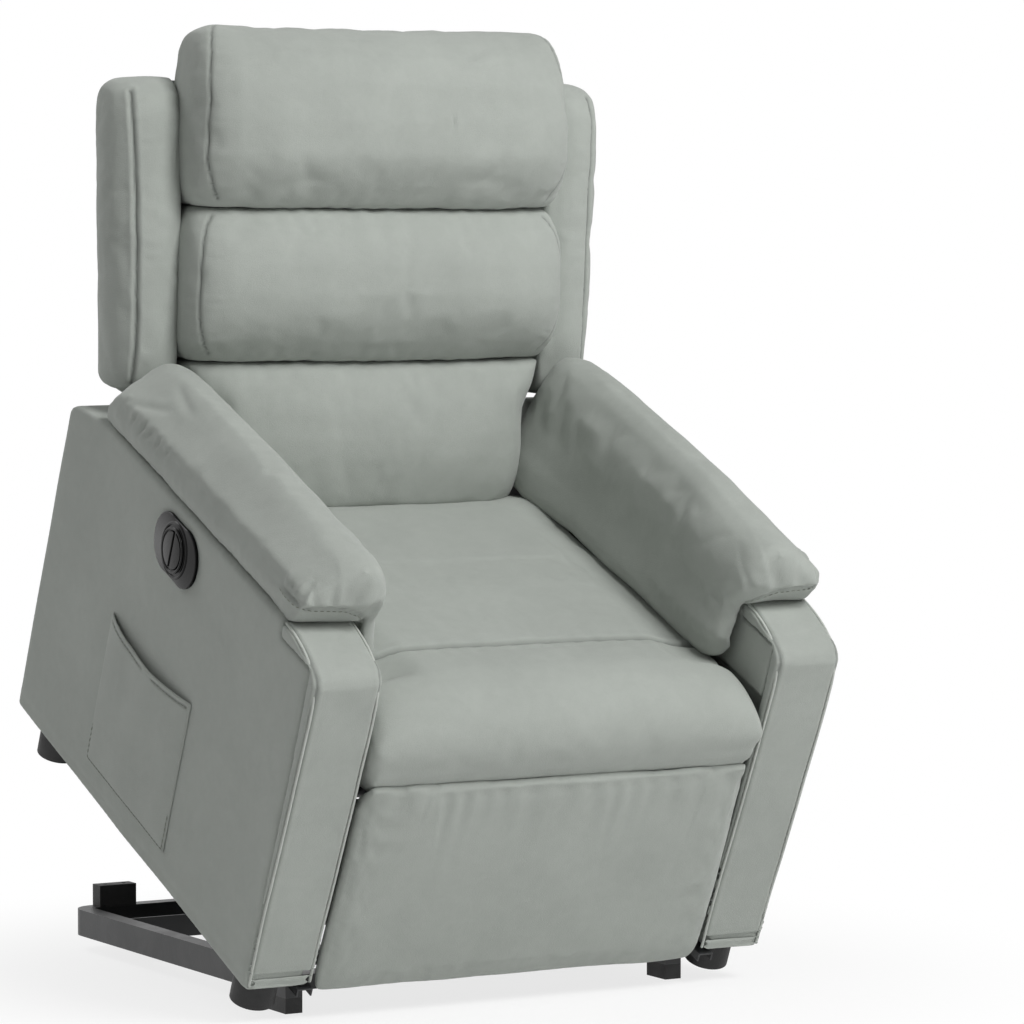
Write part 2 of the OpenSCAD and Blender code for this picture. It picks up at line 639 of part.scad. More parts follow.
// Greatest height of the cushion below the arm pads, which start past the front roll
function pad_room(x, y) = y < pad_front_y - 12 ? 1000 : seat_back_z + max(0, arm_edge - x)*0.8;
function seat_side(y, top, low) = let(h = top - low) [
    for (f = [[0, 1], [0.4, 1], [0.66, 0.985], [0.79, 0.965], [0.88, 0.93], [0.95, 0.86],
        [0.99, 0.72], [1, 0.5], [0.985, 0.2], [0.95, 0], [0.5, 0]])
        [f[0]*seat_half, y, max(low, min(low + f[1]*h, pad_room(f[0]*seat_half, y)))]];
function seat_ring(y, top, low) = let(r = seat_side(y, top, low), n = len(r)) concat(
    [for (i = [n - 1:-1:1]) [-r[i][0], r[i][1], r[i][2]]],
    r, [[0, y, low]]);
module seat_cushion() color(fabric) on_seat()
    loft([for (s = seat_stations) seat_ring(s[0], s[1], s[2])]);

// ---- Back ---------------------------------------------------------------------------------

frame_front = 6 + upright_w;
cushion_rear = frame_front + soft_gap;
upright_len = 532;
module back_uprights() color(steel) on_back() both_sides()
    translate([arm_in - upright_w, -frame_front, -22]) difference() {
        cube([upright_w, upright_w, upright_len]);
        translate([2, 2, -1]) cube([upright_w - 4, upright_w - 4, upright_len + 2]);
    }
back_bar_r = 12;
top_bar_s = upright_len - 40;
module back_cross_bars() color(steel) on_back() for (s = [12, 270, top_bar_s])
    rod_x([-frame_front + back_bar_r, s], back_bar_r, upright_w - arm_in, arm_in - upright_w);
lever_t = 4.5;
local_pin = polar(lever_r, -110 + back_rake);
local_motor_pin = polar(motor_lever_r, -80 + back_rake);
module back_levers() color(steel) on_back() both_sides() {
    slab(arm_in, arm_in + lever_t) difference() {
        union() {
            circle(r = 20);
            strap([0, 0], local_pin, 26);
            polygon([[-17, -3], [17, 4], [-6, 60], [-6, 88], [-frame_front, 88], [-frame_front, 16]]);
        }
        circle(r = 8 + pin_fit);
    }
    rod_x(local_pin, 6, arm_in + lever_t, drive_out + 1);
}
module motor_lever() color(steel) on_back() {
    for (x = [11, -16]) translate([recline_motor_x + x, 0, 0])
        slab(0, 5) difference() {
            strap([-frame_front + back_bar_r, 12], local_motor_pin, 22);
            translate([-frame_front + back_bar_r, 12]) circle(r = back_bar_r);
        }
    rod_x(local_motor_pin, 5, recline_motor_x - 11, recline_motor_x + 11);
}
// Distance of the skirt's hinge from the back hinge, along the back
skirt_s = (skirt_pivot[0] - back_y)*sin(back_rake) + (skirt_pivot[1] - back_z)*cos(back_rake);
cover_low = skirt_s + 3 + soft_gap;
cover_top = bolster_top - 7;
module back_cover() color(fabric) on_back()
    translate([-arm_in, -6 + soft_gap, cover_low]) difference() {
        cube([2*arm_in, 6 - soft_gap, cover_top - cover_low]);
        translate([6, 3, 6]) cube([2*arm_in - 12, 4, cover_top - cover_low - 12]);
    }
module back_skirt() color(fabric) on_seat() slab(-seat_half, seat_half) {
    translate(skirt_pivot) circle(r = 3);
    translate([skirt_pivot[0] - 3, 75]) square([6, skirt_pivot[1] - 75]);
}

// Fullness of a cushion's front across its width
crown_xs = [-1, -0.985, -0.94, -0.84, -0.66, -0.36, 0, 0.36, 0.66, 0.84, 0.94, 0.985, 1];
function fullness(x) = pow(1 - pow(abs(x), 4), 0.4);
// A cushion's ring: half width, front and rear depth (counted forwards), at a height
function cushion_ring(h, front, hw, rear) = let(side = rear + 0.62*(front - rear)) concat(
    [for (x = crown_xs) [x*hw, -(side + (front - side)*fullness(x)), h]],
    [[hw - 3, -(rear + 0.2*(front - rear)), h], [hw - 12, -rear, h], [0, -rear, h],
        [12 - hw, -rear, h], [3 - hw, -(rear + 0.2*(front - rear)), h]]);
module back_cushion(stations) color(fabric) on_back()
    loft([for (s = stations) cushion_ring(s[0], s[1], s[2], max(s[3], cushion_rear))]);
head_half = arm_in - 7.5;
module headrest_cushion() back_cushion([
    [head_seam + soft_gap, 158, head_half - 14, 0], [head_seam + 7, 172, head_half - 5, 0],
    [head_seam + 30, 192, head_half - 1, 0], [head_seam + 68, 209, head_half, 0],
    [back_len - 122, 207, head_half - 1, 0], [back_len - 72, 196, head_half - 3, 0],
    [back_len - 34, 178, head_half - 8, 36], [back_len - 14, 162, head_half - 14, 50],
    [back_len - 3, 143, head_half - 23, 76], [back_len, 128, head_half - 32, 100]]);
module lumbar_cushion() let(b = lumbar_seam, t = head_seam) back_cushion([
    [b + soft_gap, 144, head_half - 13, 0], [b + 7, 157, head_half - 5, 0],
    [b + 29, 179, head_half, 0], [b + 60, 195, head_half + 1, 0], [b + 95, 200, head_half + 1, 0],
    [t - 72, 196, head_half + 1, 0], [t - 38, 186, head_half, 0], [t - 14, 172, head_half - 5, 0],
    [t - soft_gap, 156, head_half - 13, 0]]);
lower_half = arm_edge + 1;
module lower_back_cushion() back_cushion([
    [-47, 144, lower_half - 24, 0], [-41, 155, lower_half - 11, 0], [-15, 167, lower_half - 3, 0],
    [20, 173, lower_half - 1, 0], [45, 174, lower_half, 0], [80, 170, lower_half + 3, 0],
    [lumbar_seam - 34, 163, lower_half + 19, 0], [lumbar_seam - 10, 152, lower_half + 31, 0],
    [lumbar_seam - soft_gap, 142, lower_half + 34, 0]]);
// Outline of a bolster's cross-section: share of its width and of its depth
bolster_section = [[0, 0.86], [0.12, 0.96], [0.35, 1], [0.6, 0.985], [0.82, 0.9], [0.95, 0.73],
    [1, 0.5], [0.97, 0.25], [0.88, 0.07], [0.7, 0], [0.3, 0], [0, 0]];
bolster_in = arm_in + soft_gap;
function bolster_ring(h, out, front, rear) = [for (f = bolster_section)
    [bolster_in + f[0]*(out - bolster_in), -(rear + f[1]*(front - rear)), h]];
bolster_out = side_x - 7;
module bolster() let(t = bolster_top, b = bolster_low, d = bolster_d, w = bolster_out) loft([
    bolster_ring(b, w - 33, d - 22, 12), bolster_ring(b + 4, w - 21, d - 8, 4),
    bolster_ring(b + 16, w - 14, d, 0), bolster_ring(b + 70, w - 12, d + 6, 0),
    bolster_ring(b + 155, w - 9, d + 9, 0), bolster_ring(b + 235, w - 6, d + 6, 0),
    bolster_ring(t - 105, w - 2, d + 1, 0), bolster_ring(t - 45, w, d - 4, 0),
    bolster_ring(t - 20, w - 4, d - 14, 0), bolster_ring(t - 6, w - 15, d - 30, 8),
    bolster_ring(t, w - 31, d - 48, 24)]);
module right_bolster() color(fabric) on_back() mirror([1, 0, 0]) bolster();
module left_bolster() color(fabric) on_back() bolster();

// ---- Footrest ---------------------------------------------------------------------------

board_low = footrest_low_z + 10;
board_high = footrest_z - 87;
board_slope = 8/(308 - 56);
// Depth of the board's front face at a height
function board_face(z) = 24 + (board_high - z)*board_slope;
module footrest_board() color(timber) on_seat() slab(-pad_half + 6, pad_half - 6)
    polygon([[board_face(board_low), board_low], [board_face(board_low) + board_t, board_low],
        [board_face(board_high) + board_t, board_high], [board_face(board_high), board_high]]);
// Rearmost depth of the pad's upper lip, which swings round the seat's front roll
lip_reach = roll_reach + 2.6;
function lip_back(z) = footrest_z - z > lip_reach ? 1000
    : footrest_y - sqrt(lip_reach*lip_reach - pow(footrest_z - z, 2));
function footrest_ring(z, front, hw) = let(
        back = min(lip_back(z), board_face(max(z, board_low)) - soft_gap),
        side = front + 0.4*(back - front)) concat(
    [for (x = crown_xs) [x*hw, side - (side - front)*fullness(x), z]],
    [[hw - 3, back - 0.15*(back - front), z], [hw - 12, back, z], [0, back, z],
        [12 - hw, back, z], [3 - hw, back - 0.15*(back - front), z]]);
module footrest_pad() color(fabric) on_seat() let(b = footrest_low_z, t = footrest_z - 50) loft([
    footrest_ring(b, 20, pad_half - 12), footrest_ring(b + 5, 11, pad_half - 5),
    footrest_ring(b + 22, 4, pad_half - 1), footrest_ring(b + 64, -2, pad_half),
    footrest_ring(b + 124, -7, pad_half), footrest_ring(b + 184, -10, pad_half),
    footrest_ring(t - 60, -11, pad_half), footrest_ring(t - 36, -12, pad_half),
    footrest_ring(t - 26, -12, pad_half), footrest_ring(t - 20, -11, pad_half),
    footrest_ring(t - 10, -12, pad_half - 1), footrest_ring(t, -11, pad_half - 4)]);
footrest_tube_r = 10;
footrest_tube_z = 250;
footrest_tube = [board_face(footrest_tube_z) + board_t + footrest_tube_r + 0.3, footrest_tube_z];
module footrest_arms() color(steel) on_seat() {
    both_sides() slab(arm_in, arm_out) difference() {
        union() {
            strap(footrest_pivot, footrest_tube, 30);
            strap(footrest_pivot, crank_pin, 24);
        }
        translate(footrest_pivot) circle(r = 7 + pin_fit);
    }
    both_sides() rod_x(crank_pin, 5, arm_out, drive_out + 1);
    rod_x(footrest_tube, footrest_tube_r, -arm_in, arm_in);
}
// The link's front eye, and the two bends that carry it under the footrest hinge's pin
link_eye = crank_pin + [1.1, -1.6];
link_bend = crank_pin + [38, -22];
link_shoulder = crank_pin + [75, 1];
module drive_links() color(steel) on_seat() both_sides() slab(drive_in, drive_out) difference() {
    union() {
        translate(link_eye) circle(r = 12);
        strap(crank_pin, link_bend, 18);
        strap(link_bend, link_shoulder, 18);
        strap(link_shoulder, lever_pin, 24);
    }
    translate(lever_pin) circle(r = 6 + pin_fit);
    translate(link_eye) circle(r = 5 + open_fit);
}

// ---- Controls, on the sitter's right ----------------------------------------------------

pocket_y = 290;
pocket_z = 90;
pocket_w = 257;
pocket_h = 222;
pocket_sag = 12;
pocket_t = 11;
pocket_wall = 2.5;
pocket_hem = 10;
module pocket_front(inset) difference() {
    translate([pocket_y + inset, pocket_z + inset])
        rounded([pocket_w - 2*inset, pocket_h + 30], 8);
    let(r = pow(pocket_w/2, 2)/(2*pocket_sag))
        translate([pocket_y + pocket_w/2, pocket_z + pocket_h - pocket_sag + r]) circle(r = r);
}
module side_pocket() color(fabric) on_seat() difference() {
    slab(-side_x - pocket_t, -side_x) pocket_front(0);
    slab(-side_x - pocket_t + pocket_wall, -side_x + 1)
        translate([pocket_y + pocket_hem, pocket_z + pocket_hem])
            square([pocket_w - 2*pocket_hem, pocket_h]);
}
bezel_mid = [406, 475];
dial_r = 30;
button_r = 25;
module half_disc(r, up) intersection() {
    circle(r = r);
    translate([-r, up > 0 ? 3 : -r - 3]) square([2*r, r]);
}
module control_bezel() color(plastic) on_seat() difference() {
    union() {
        slab(-side_x - bezel_t + 3, -side_x) translate(bezel_mid)
            strap([(bezel_h - bezel_len)/2, 0], [(bezel_len - bezel_h)/2, 0], bezel_h);
        slab(-side_x - bezel_t, -side_x) translate(bezel_mid) circle(r = dial_r);
    }
    slab(-side_x - bezel_t - 1, -side_x + 1) translate(bezel_mid)
        rotate(90) for (up = [1, -1]) half_disc(button_r + 0.35, up);
}
module button(up) color(plastic) on_seat()
    slab(-side_x - bezel_t - 1.5, -side_x - button_travel - 0.5) translate(bezel_mid)
        rotate(90) translate([0, up*0.35]) half_disc(button_r - 0.35, up);
module button_up() button(1);
module button_down() button(-1);

base_frame();
base_cross_bars();
base_plates();
base_feet();
rest_blocks();
link_brackets();
base_pins();
rear_lift_links();
rear_link_tube();
front_lift_links();
front_link_tube();
lift_motor();
lift_rod();
seat_rails();
seat_link_brackets();
seat_tubes();
seat_pins();
deck_cross_rails();
deck_side_rails();
seat_springs();
seat_cushion();
right_side_panel();
left_side_panel();
right_arm_front();
left_arm_front();
right_arm_pad();
left_arm_pad();
panel_feet();
panel_channels();
side_pocket();
control_bezel();
button_up();
button_down();
control_box();
power_inlet();
back_uprights();
back_cross_bars();
back_levers();
motor_lever();
back_cover();
headrest_cushion();
lumbar_cushion();
lower_back_cushion();
right_bolster();
left_bolster();
footrest_pad();
footrest_board();
footrest_arms();
drive_links();
recline_motor();
recline_rod();
back_skirt();
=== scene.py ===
# %% [markdown]
# # A lift recliner chair
# The chair stands with its seat raised, as it does when it helps its user to get up.
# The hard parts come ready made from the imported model. This lesson dresses them: it stuffs the
# cushions, tailors the covers, and gives each metal, plastic and wooden piece its finish.

import math

import bpy
import numpy as np
from mathutils import Matrix, Vector, noise
from mathutils.bvhtree import BVHTree


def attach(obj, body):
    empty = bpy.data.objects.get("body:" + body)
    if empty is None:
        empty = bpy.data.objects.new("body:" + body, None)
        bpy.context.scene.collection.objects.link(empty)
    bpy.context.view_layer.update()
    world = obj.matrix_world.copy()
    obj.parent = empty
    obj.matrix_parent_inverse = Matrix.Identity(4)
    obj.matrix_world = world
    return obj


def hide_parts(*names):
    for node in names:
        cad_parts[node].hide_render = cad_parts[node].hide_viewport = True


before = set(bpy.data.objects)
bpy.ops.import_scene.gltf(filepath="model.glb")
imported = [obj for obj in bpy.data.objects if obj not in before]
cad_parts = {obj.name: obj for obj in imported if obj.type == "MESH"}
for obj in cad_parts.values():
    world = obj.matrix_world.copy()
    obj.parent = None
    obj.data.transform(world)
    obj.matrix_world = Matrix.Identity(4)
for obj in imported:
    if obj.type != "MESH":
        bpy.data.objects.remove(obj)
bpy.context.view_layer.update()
scene = bpy.context.scene

# %% [markdown]
# The camera stands to the chair's front right, a little above its seat, with a long lens.
# A long lens keeps the panels' edges almost parallel. It comes first, so that every later
# step can be judged from the same place.

# %% Camera
camera_place = Vector((-3.0642, -5.62902, 1.0049))
camera_target = Vector((0.14095, -0.02314, 0.6248))
bpy.ops.object.camera_add(location=camera_place)
camera = bpy.context.object
camera.name = "viewpoint"
camera.rotation_euler = (camera_target - camera_place).to_track_quat("-Z", "Y").to_euler()
camera.data.lens = 167.6
camera.data.sensor_width = 36
camera.data.clip_end = 60
scene.camera = camera
print("camera to chair:", round((camera_target - camera_place).length, 2), "m")

# %% [markdown]
# Studio light is soft. A white world gives a little fill. One large lamp high in front lights
# the cushions' faces and leaves the chair's own right side in half shade. A lamp high behind
# draws the upper edges, and two weak ones at the sides keep the shadows open.

# %% Lights
def lamp(name, place, target, size, watts):
    bpy.ops.object.light_add(type="AREA", location=place)
    light = bpy.context.object
    light.name = name
    light.data.size = size
    light.data.energy = watts
    light.rotation_euler = (Vector(target) - Vector(place)).to_track_quat("-Z", "Y").to_euler()


lamp("key_lamp", (0.9, -3.3, 3.9), (0, 0, 0.7), 1.8, 168)
lamp("back_lamp", (-1.5, 2.6, 3.6), (0, 0, 0.6), 1.8, 42)
lamp("right_fill", (3.4, -2.8, 1.6), (0, 0, 0.6), 1.8, 12)
lamp("left_fill", (-4.0, -0.2, 1.9), (0, 0, 0.6), 2.0, 5)
scene.view_settings.view_transform = "Standard"

# %% Helpers: shader nodes, their inputs and their wires
def wire(tree, pairs):
    for source, target in pairs:
        tree.links.new(source, target)


def give(tree, socket, value):
    """An input gets a value, or the output of another node."""
    if isinstance(value, bpy.types.NodeSocket):
        tree.links.new(value, socket)
    else:
        socket.default_value = value


def feed(tree, node, **inputs):
    """Gives a node its inputs. _ stands for the space in an input's name."""
    for label, value in inputs.items():
        give(tree, node.inputs[label.replace("_", " ")], value)
    return node


def new_node(tree, kind, **inputs):
    return feed(tree, tree.nodes.new("ShaderNode" + kind), **inputs)


def math_node(tree, operation, *values):
    node = tree.nodes.new("ShaderNodeMath")
    node.operation = operation
    for socket, value in zip(node.inputs, values):
        give(tree, socket, value)
    return node.outputs[0]


def seen_rays(tree):
    """1 for a ray from the camera, straight or by way of a mirror or glass, and 0 for others."""
    path = tree.nodes.new("ShaderNodeLightPath")
    seen = math_node(tree, "MAXIMUM", path.outputs["Is Camera Ray"], path.outputs["Is Glossy Ray"])
    return math_node(tree, "MAXIMUM", seen, path.outputs["Is Transmission Ray"])


print("node helpers ready")

# %% World: white to the camera, plain grey fill to the chair
def new_world(fill):
    world = bpy.data.worlds.new("studio")
    world.use_nodes = True
    tree = world.node_tree
    level = new_node(tree, "MapRange", Value=seen_rays(tree), To_Min=fill, To_Max=1.0)
    feed(tree, tree.nodes["Background"], Color=(1, 1, 1, 1), Strength=level.outputs["Result"])
    return world


world_fill = 0.16
scene.world = new_world(world_fill)
print("world fill:", world_fill)

# %% [markdown]
# A finish is a small network of nodes. What several finishes share, such as fine grain or
# a slow cloud of lighter and darker patches, is built once as a node group with named sockets.
# Each material then places the group with its own values.

# %% Helper for node groups
def node_group(name, inputs, outputs):
    group = bpy.data.node_groups.new(name, "ShaderNodeTree")
    for label, kind, value in inputs:
        socket = group.interface.new_socket(label, in_out="INPUT", socket_type=kind)
        if value is not None:
            socket.default_value = value
    for label, kind in outputs:
        group.interface.new_socket(label, in_out="OUTPUT", socket_type=kind)
    return group, group.nodes.new("NodeGroupInput"), group.nodes.new("NodeGroupOutput")


FLOAT, COLOR, VECTOR = "NodeSocketFloat", "NodeSocketColor", "NodeSocketVector"
print("node group helper ready")

# %% Group: fine grain, a height and a mask of small pores
def build_grain():
    group, source, sink = node_group(
        "fine_grain", [("Vector", VECTOR, None), ("Scale", FLOAT, 900.0)],
        [("Height", FLOAT), ("Mask", FLOAT)])
    where, scale = source.outputs["Vector"], source.outputs["Scale"]
    fine = new_node(group, "TexNoise", Vector=where, Scale=scale, Detail=3, Roughness=0.6)
    coarser = math_node(group, "MULTIPLY", scale, 0.55)
    cells = new_node(group, "TexVoronoi", Vector=where, Scale=coarser)
    height = math_node(group, "MULTIPLY_ADD", cells.outputs["Distance"], 0.6, fine.outputs["Fac"])
    feed(group, sink, Height=height, Mask=fine.outputs["Fac"])
    return group


fine_grain = build_grain()
print("group:", fine_grain.name)

# %% Group: slow clouds, lighter and darker patches of a hand wide
def build_clouds():
    group, source, sink = node_group(
        "slow_clouds", [("Vector", VECTOR, None), ("Scale", FLOAT, 9.0), ("Low", FLOAT, 0.9),
                        ("High", FLOAT, 1.1)], [("Value", FLOAT)])
    given = source.outputs
    cloud = new_node(group, "TexNoise", Vector=given["Vector"], Scale=given["Scale"], Detail=5,
                     Roughness=0.62, Distortion=0.7)
    level = new_node(group, "MapRange", Value=cloud.outputs["Fac"], From_Min=0.3, From_Max=0.7,
                     To_Min=given["Low"], To_Max=given["High"])
    feed(group, sink, Value=level.outputs["Result"])
    return group


slow_clouds = build_clouds()
print("group:", slow_clouds.name)

# %% Group: tint, a colour made lighter or darker by a value
def build_tint():
    group, source, sink = node_group(
        "tint", [("Color", COLOR, (0.5, 0.5, 0.5, 1)), ("Value", FLOAT, 1.0)], [("Color", COLOR)])
    scale = group.nodes.new("ShaderNodeVectorMath")
    scale.operation = "SCALE"
    feed(group, scale, Vector=source.outputs["Color"], Scale=source.outputs["Value"])
    feed(group, sink, Color=scale.outputs["Vector"])
    return group


tint = build_tint()
print("group:", tint.name)

# %% [markdown]
# The cover is a brushed grey-green cloth with a short nap. From a step away it looks matt,
# with slow lighter and darker patches where the nap lies differently, and a soft bloom
# at grazing angles, which the sheen gives. Seams get painted shade: the colour is darkened
# along them, where shade would gather. A mesh attribute named seam, painted while the piece
# is modelled, says where.

# %% Helper that starts a material
def new_material(name, pattern=(1, 1, 1), **sockets):
    """pattern stretches the textures along the three axes. It returns what a finish builds on:
    the material, its node tree, its shader, and the place on the piece."""
    material = bpy.data.materials.new(name)
    material.use_nodes = True
    tree = material.node_tree
    shader = tree.nodes["Principled BSDF"]
    feed(tree, shader, **sockets)
    coordinates = tree.nodes.new("ShaderNodeTexCoord")
    place = new_node(tree, "Mapping", Vector=coordinates.outputs["Object"], Scale=pattern)
    return material, tree, shader, place.outputs["Vector"]


def put(tree, group, **inputs):
    node = tree.nodes.new("ShaderNodeGroup")
    node.node_tree = group
    return feed(tree, node, **inputs)


def bump(tree, shader, height, strength, distance):
    node = new_node(tree, "Bump", Height=height, Strength=strength, Distance=distance)
    feed(tree, shader, Normal=node.outputs["Normal"])


def srgb(red, green, blue):
    linear = [((c / 255 + 0.055) / 1.055) ** 2.4 for c in (red, green, blue)]
    return (*linear, 1)


print("material helper ready")

# %% Material: brushed cloth
def brushed_cloth(name, colour):
    material, tree, shader, where = new_material(
        name, Roughness=0.93, Sheen_Weight=0.22, Sheen_Roughness=0.45, Specular_IOR_Level=0.25)
    clouds = put(tree, slow_clouds, Vector=where, Scale=7.0, Low=0.955, High=1.045)
    nap = put(tree, slow_clouds, Vector=where, Scale=55.0, Low=0.975, High=1.025)
    grain = put(tree, fine_grain, Vector=where, Scale=1150.0)
    fleck = math_node(tree, "MULTIPLY_ADD", grain.outputs["Mask"], 0.16, 0.92)
    # The seam attribute darkens the colour along seams: painted shade in their grooves.
    seam = tree.nodes.new("ShaderNodeAttribute")
    seam.attribute_name = "seam"
    painted_shade = math_node(tree, "MULTIPLY_ADD", seam.outputs["Fac"], -0.62, 1.0)
    value = math_node(tree, "MULTIPLY", clouds.outputs["Value"], nap.outputs["Value"])
    value = math_node(tree, "MULTIPLY", value, fleck)
    value = math_node(tree, "MULTIPLY", value, painted_shade)
    tinted = put(tree, tint, Color=colour, Value=value)
    feed(tree, shader, Base_Color=tinted.outputs["Color"])
    soft = math_node(tree, "MULTIPLY_ADD", nap.outputs["Value"], 2.4, grain.outputs["Height"])
    bump(tree, shader, soft, 0.55, 0.0006)
    return material


cloth = brushed_cloth("cover_cloth", srgb(169, 174, 168))
piping_cloth = brushed_cloth("piping_cloth", srgb(190, 194, 188))
thread = brushed_cloth("seam_thread", srgb(140, 145, 134))
print("cloths:", cloth.name, piping_cloth.name, thread.name)

# %% [markdown]
# The lift base and the linkage are steel with a satin black powder coat. It has a fine orange
# peel, and it is rubbed thinner along its edges. The edge mask compares the true normal with
# one that is rounded by a Bevel node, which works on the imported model's plain meshes too.

# %% Helper: edge mask, and material: satin black steel
def edge_mask(tree, radius, gain):
    rounded = new_node(tree, "Bevel", Radius=radius)
    rounded.samples = 4
    true = tree.nodes.new("ShaderNodeNewGeometry")
    dot = tree.nodes.new("ShaderNodeVectorMath")
    dot.operation = "DOT_PRODUCT"
    wire(tree, [(rounded.outputs["Normal"], dot.inputs[0]), (true.outputs["Normal"], dot.inputs[1])])
    inverse = math_node(tree, "SUBTRACT", 1.0, dot.outputs["Value"])
    scaled = math_node(tree, "MULTIPLY", inverse, gain)
    return math_node(tree, "MINIMUM", scaled, 1.0)


def worn_colour(tree, base, worn, mask):
    mix = tree.nodes.new("ShaderNodeMix")
    mix.data_type = "RGBA"
    colour_in = [s for s in mix.inputs if s.type == "RGBA"]
    colour_in[0].default_value = base
    colour_in[1].default_value = worn
    feed(tree, mix, Factor=mask)
    return [s for s in mix.outputs if s.type == "RGBA"][0]


def satin_coat(name, base, worn, roughness):
    material, tree, shader, where = new_material(name, Specular_IOR_Level=0.5)
    grain = put(tree, fine_grain, Vector=where, Scale=420.0)
    clouds = put(tree, slow_clouds, Vector=where, Scale=14.0, Low=-0.05, High=0.09)
    rub = put(tree, slow_clouds, Vector=where, Scale=60.0, Low=0.0, High=1.0)
    edge = edge_mask(tree, 0.0016, 2.4)
    mask = math_node(tree, "MULTIPLY", edge, rub.outputs["Value"])
    colour = worn_colour(tree, base, worn, mask)
    dust = math_node(tree, "MULTIPLY_ADD", clouds.outputs["Value"], 2.2, 1.0)
    tinted = put(tree, tint, Color=colour, Value=dust)
    gloss = math_node(tree, "MULTIPLY_ADD", clouds.outputs["Value"], 0.9, roughness)
    feed(tree, shader, Base_Color=tinted.outputs["Color"], Roughness=gloss)
    bump(tree, shader, grain.outputs["Height"], 0.22, 0.0004)
    return material


black_coat = satin_coat("satin_black_coat", srgb(38, 39, 40), srgb(96, 97, 98), 0.42)
inner_coat = satin_coat("inner_black_coat", srgb(30, 31, 32), srgb(84, 84, 84), 0.5)
print("coats:", black_coat.name, inner_coat.name)

# %% [markdown]
# Moulded plastic has a leathery grain, finer than the coat's, and no worn metal.
# The hand control is the exception: it is polished, so it mirrors the lamps.

# %% Materials: moulded plastic and polished plastic
def moulded(name, colour, roughness, grain_scale, depth, specular=0.5):
    material, tree, shader, where = new_material(name, Specular_IOR_Level=specular)
    grain = put(tree, fine_grain, Vector=where, Scale=grain_scale)
    clouds = put(tree, slow_clouds, Vector=where, Scale=22.0, Low=0.86, High=1.14)
    tinted = put(tree, tint, Color=colour, Value=clouds.outputs["Value"])
    gloss = math_node(tree, "MULTIPLY", clouds.outputs["Value"], roughness)
    feed(tree, shader, Base_Color=tinted.outputs["Color"], Roughness=gloss)
    bump(tree, shader, grain.outputs["Height"], depth, 0.0005)
    return material


black_plastic = moulded("moulded_black_plastic", srgb(34, 34, 35), 0.46, 700.0, 0.35)
rubber_foot = moulded("rubber_foot", srgb(28, 28, 28), 0.62, 950.0, 0.5)
gloss_plastic = moulded("polished_black_plastic", srgb(5, 5, 6), 0.13, 300.0, 0.03, specular=0.17)
button_plastic = moulded("button_plastic", srgb(12, 12, 13), 0.24, 700.0, 0.1, specular=0.18)
print("plastics:", black_plastic.name, rubber_foot.name, gloss_plastic.name, button_plastic.name)

# %% Material: zinc plated steel, drawn lengthwise
def zinc_plate():
    material, tree, shader, where = new_material(
        "zinc_plate", pattern=(30, 900, 900), Metallic=0.9)
    drawn = new_node(tree, "TexNoise", Vector=where, Scale=1.0)
    clouds = put(tree, slow_clouds, Vector=where, Scale=0.05, Low=0.85, High=1.1)
    level = math_node(tree, "MULTIPLY_ADD", drawn.outputs["Fac"], 0.3, 0.16)
    tinted = put(tree, tint, Color=srgb(176, 178, 180), Value=clouds.outputs["Value"])
    feed(tree, shader, Base_Color=tinted.outputs["Color"], Roughness=level)
    bump(tree, shader, drawn.outputs["Fac"], 0.1, 0.0003)
    return material


zinc = zinc_plate()
print("zinc:", zinc.name)

# %% Material: planed timber, its grain along the chair's width
def planed_timber():
    material, tree, shader, where = new_material("planed_timber", pattern=(6, 60, 60), Roughness=0.62)
    rings = new_node(tree, "TexNoise", Vector=where, Scale=1.0, Detail=6, Distortion=1.4)
    pores = put(tree, fine_grain, Vector=where, Scale=9.0)
    ramp = new_node(tree, "ValToRGB", Fac=rings.outputs["Fac"])
    for element, position, colour in zip(ramp.color_ramp.elements, (0.32, 0.66),
                                         (srgb(160, 122, 82), srgb(205, 172, 128))):
        element.position = position
        element.color = colour
    feed(tree, shader, Base_Color=ramp.outputs["Color"])
    bump(tree, shader, pores.outputs["Height"], 0.3, 0.0006)
    return material


timber = planed_timber()
print("timber:", timber.name)

# %% [markdown]
# Two helper frames make the work easier, because the lift tilts the seat forward and the back
# leans on top of that. A point of the seat frame is given as in the seated chair: across, depth
# behind the panels' front line, and height above the floor. A point of the back frame is given
# from the back's hinge: across, depth (the sitter's side is negative), and height up the back.

# %% Frames of the seat and of the back
lift_tilt = 23.5
lift_shift = -0.0056
lift_drop = -0.0039
front_to_middle = 0.253519
back_hinge = (0, 0.750, 0.433)
back_rake = 19.5
seat_place = Matrix.Translation((0, lift_shift - front_to_middle, lift_drop)) @ Matrix.Rotation(
    math.radians(lift_tilt), 4, "X")
back_place = seat_place @ Matrix.Translation(back_hinge) @ Matrix.Rotation(
    math.radians(-back_rake), 4, "X")


def go(place, points):
    """Points of a tilted frame, in the chair's own frame."""
    turned = np.asarray(points, float) @ np.array(place.to_3x3()).T
    return turned + np.array(place.translation)


def come(place, points):
    """Points of the chair's own frame, in a tilted frame."""
    return go(place.inverted(), points)


print("back hinge at", np.round(go(seat_place, [back_hinge])[0], 3).tolist())

# %% Helpers: selecting, editing and modifying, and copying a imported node's mesh
def only(*objects):
    bpy.ops.object.select_all(action="DESELECT")
    for obj in objects:
        obj.select_set(True)
    bpy.context.view_layer.objects.active = objects[-1]


def edit(obj, operator, **settings):
    """Runs an edit mode operator on all of obj."""
    only(obj)
    bpy.ops.object.mode_set(mode="EDIT")
    bpy.ops.mesh.select_all(action="SELECT")
    operator(**settings)
    bpy.ops.object.mode_set(mode="OBJECT")


def modify(obj, kind, **settings):
    modifier = obj.modifiers.new(kind.lower(), kind)
    for label, value in settings.items():
        setattr(modifier, label, value)


def finish_modifiers(obj):
    only(obj)
    for modifier in list(obj.modifiers):
        bpy.ops.object.modifier_apply(modifier=modifier.name)


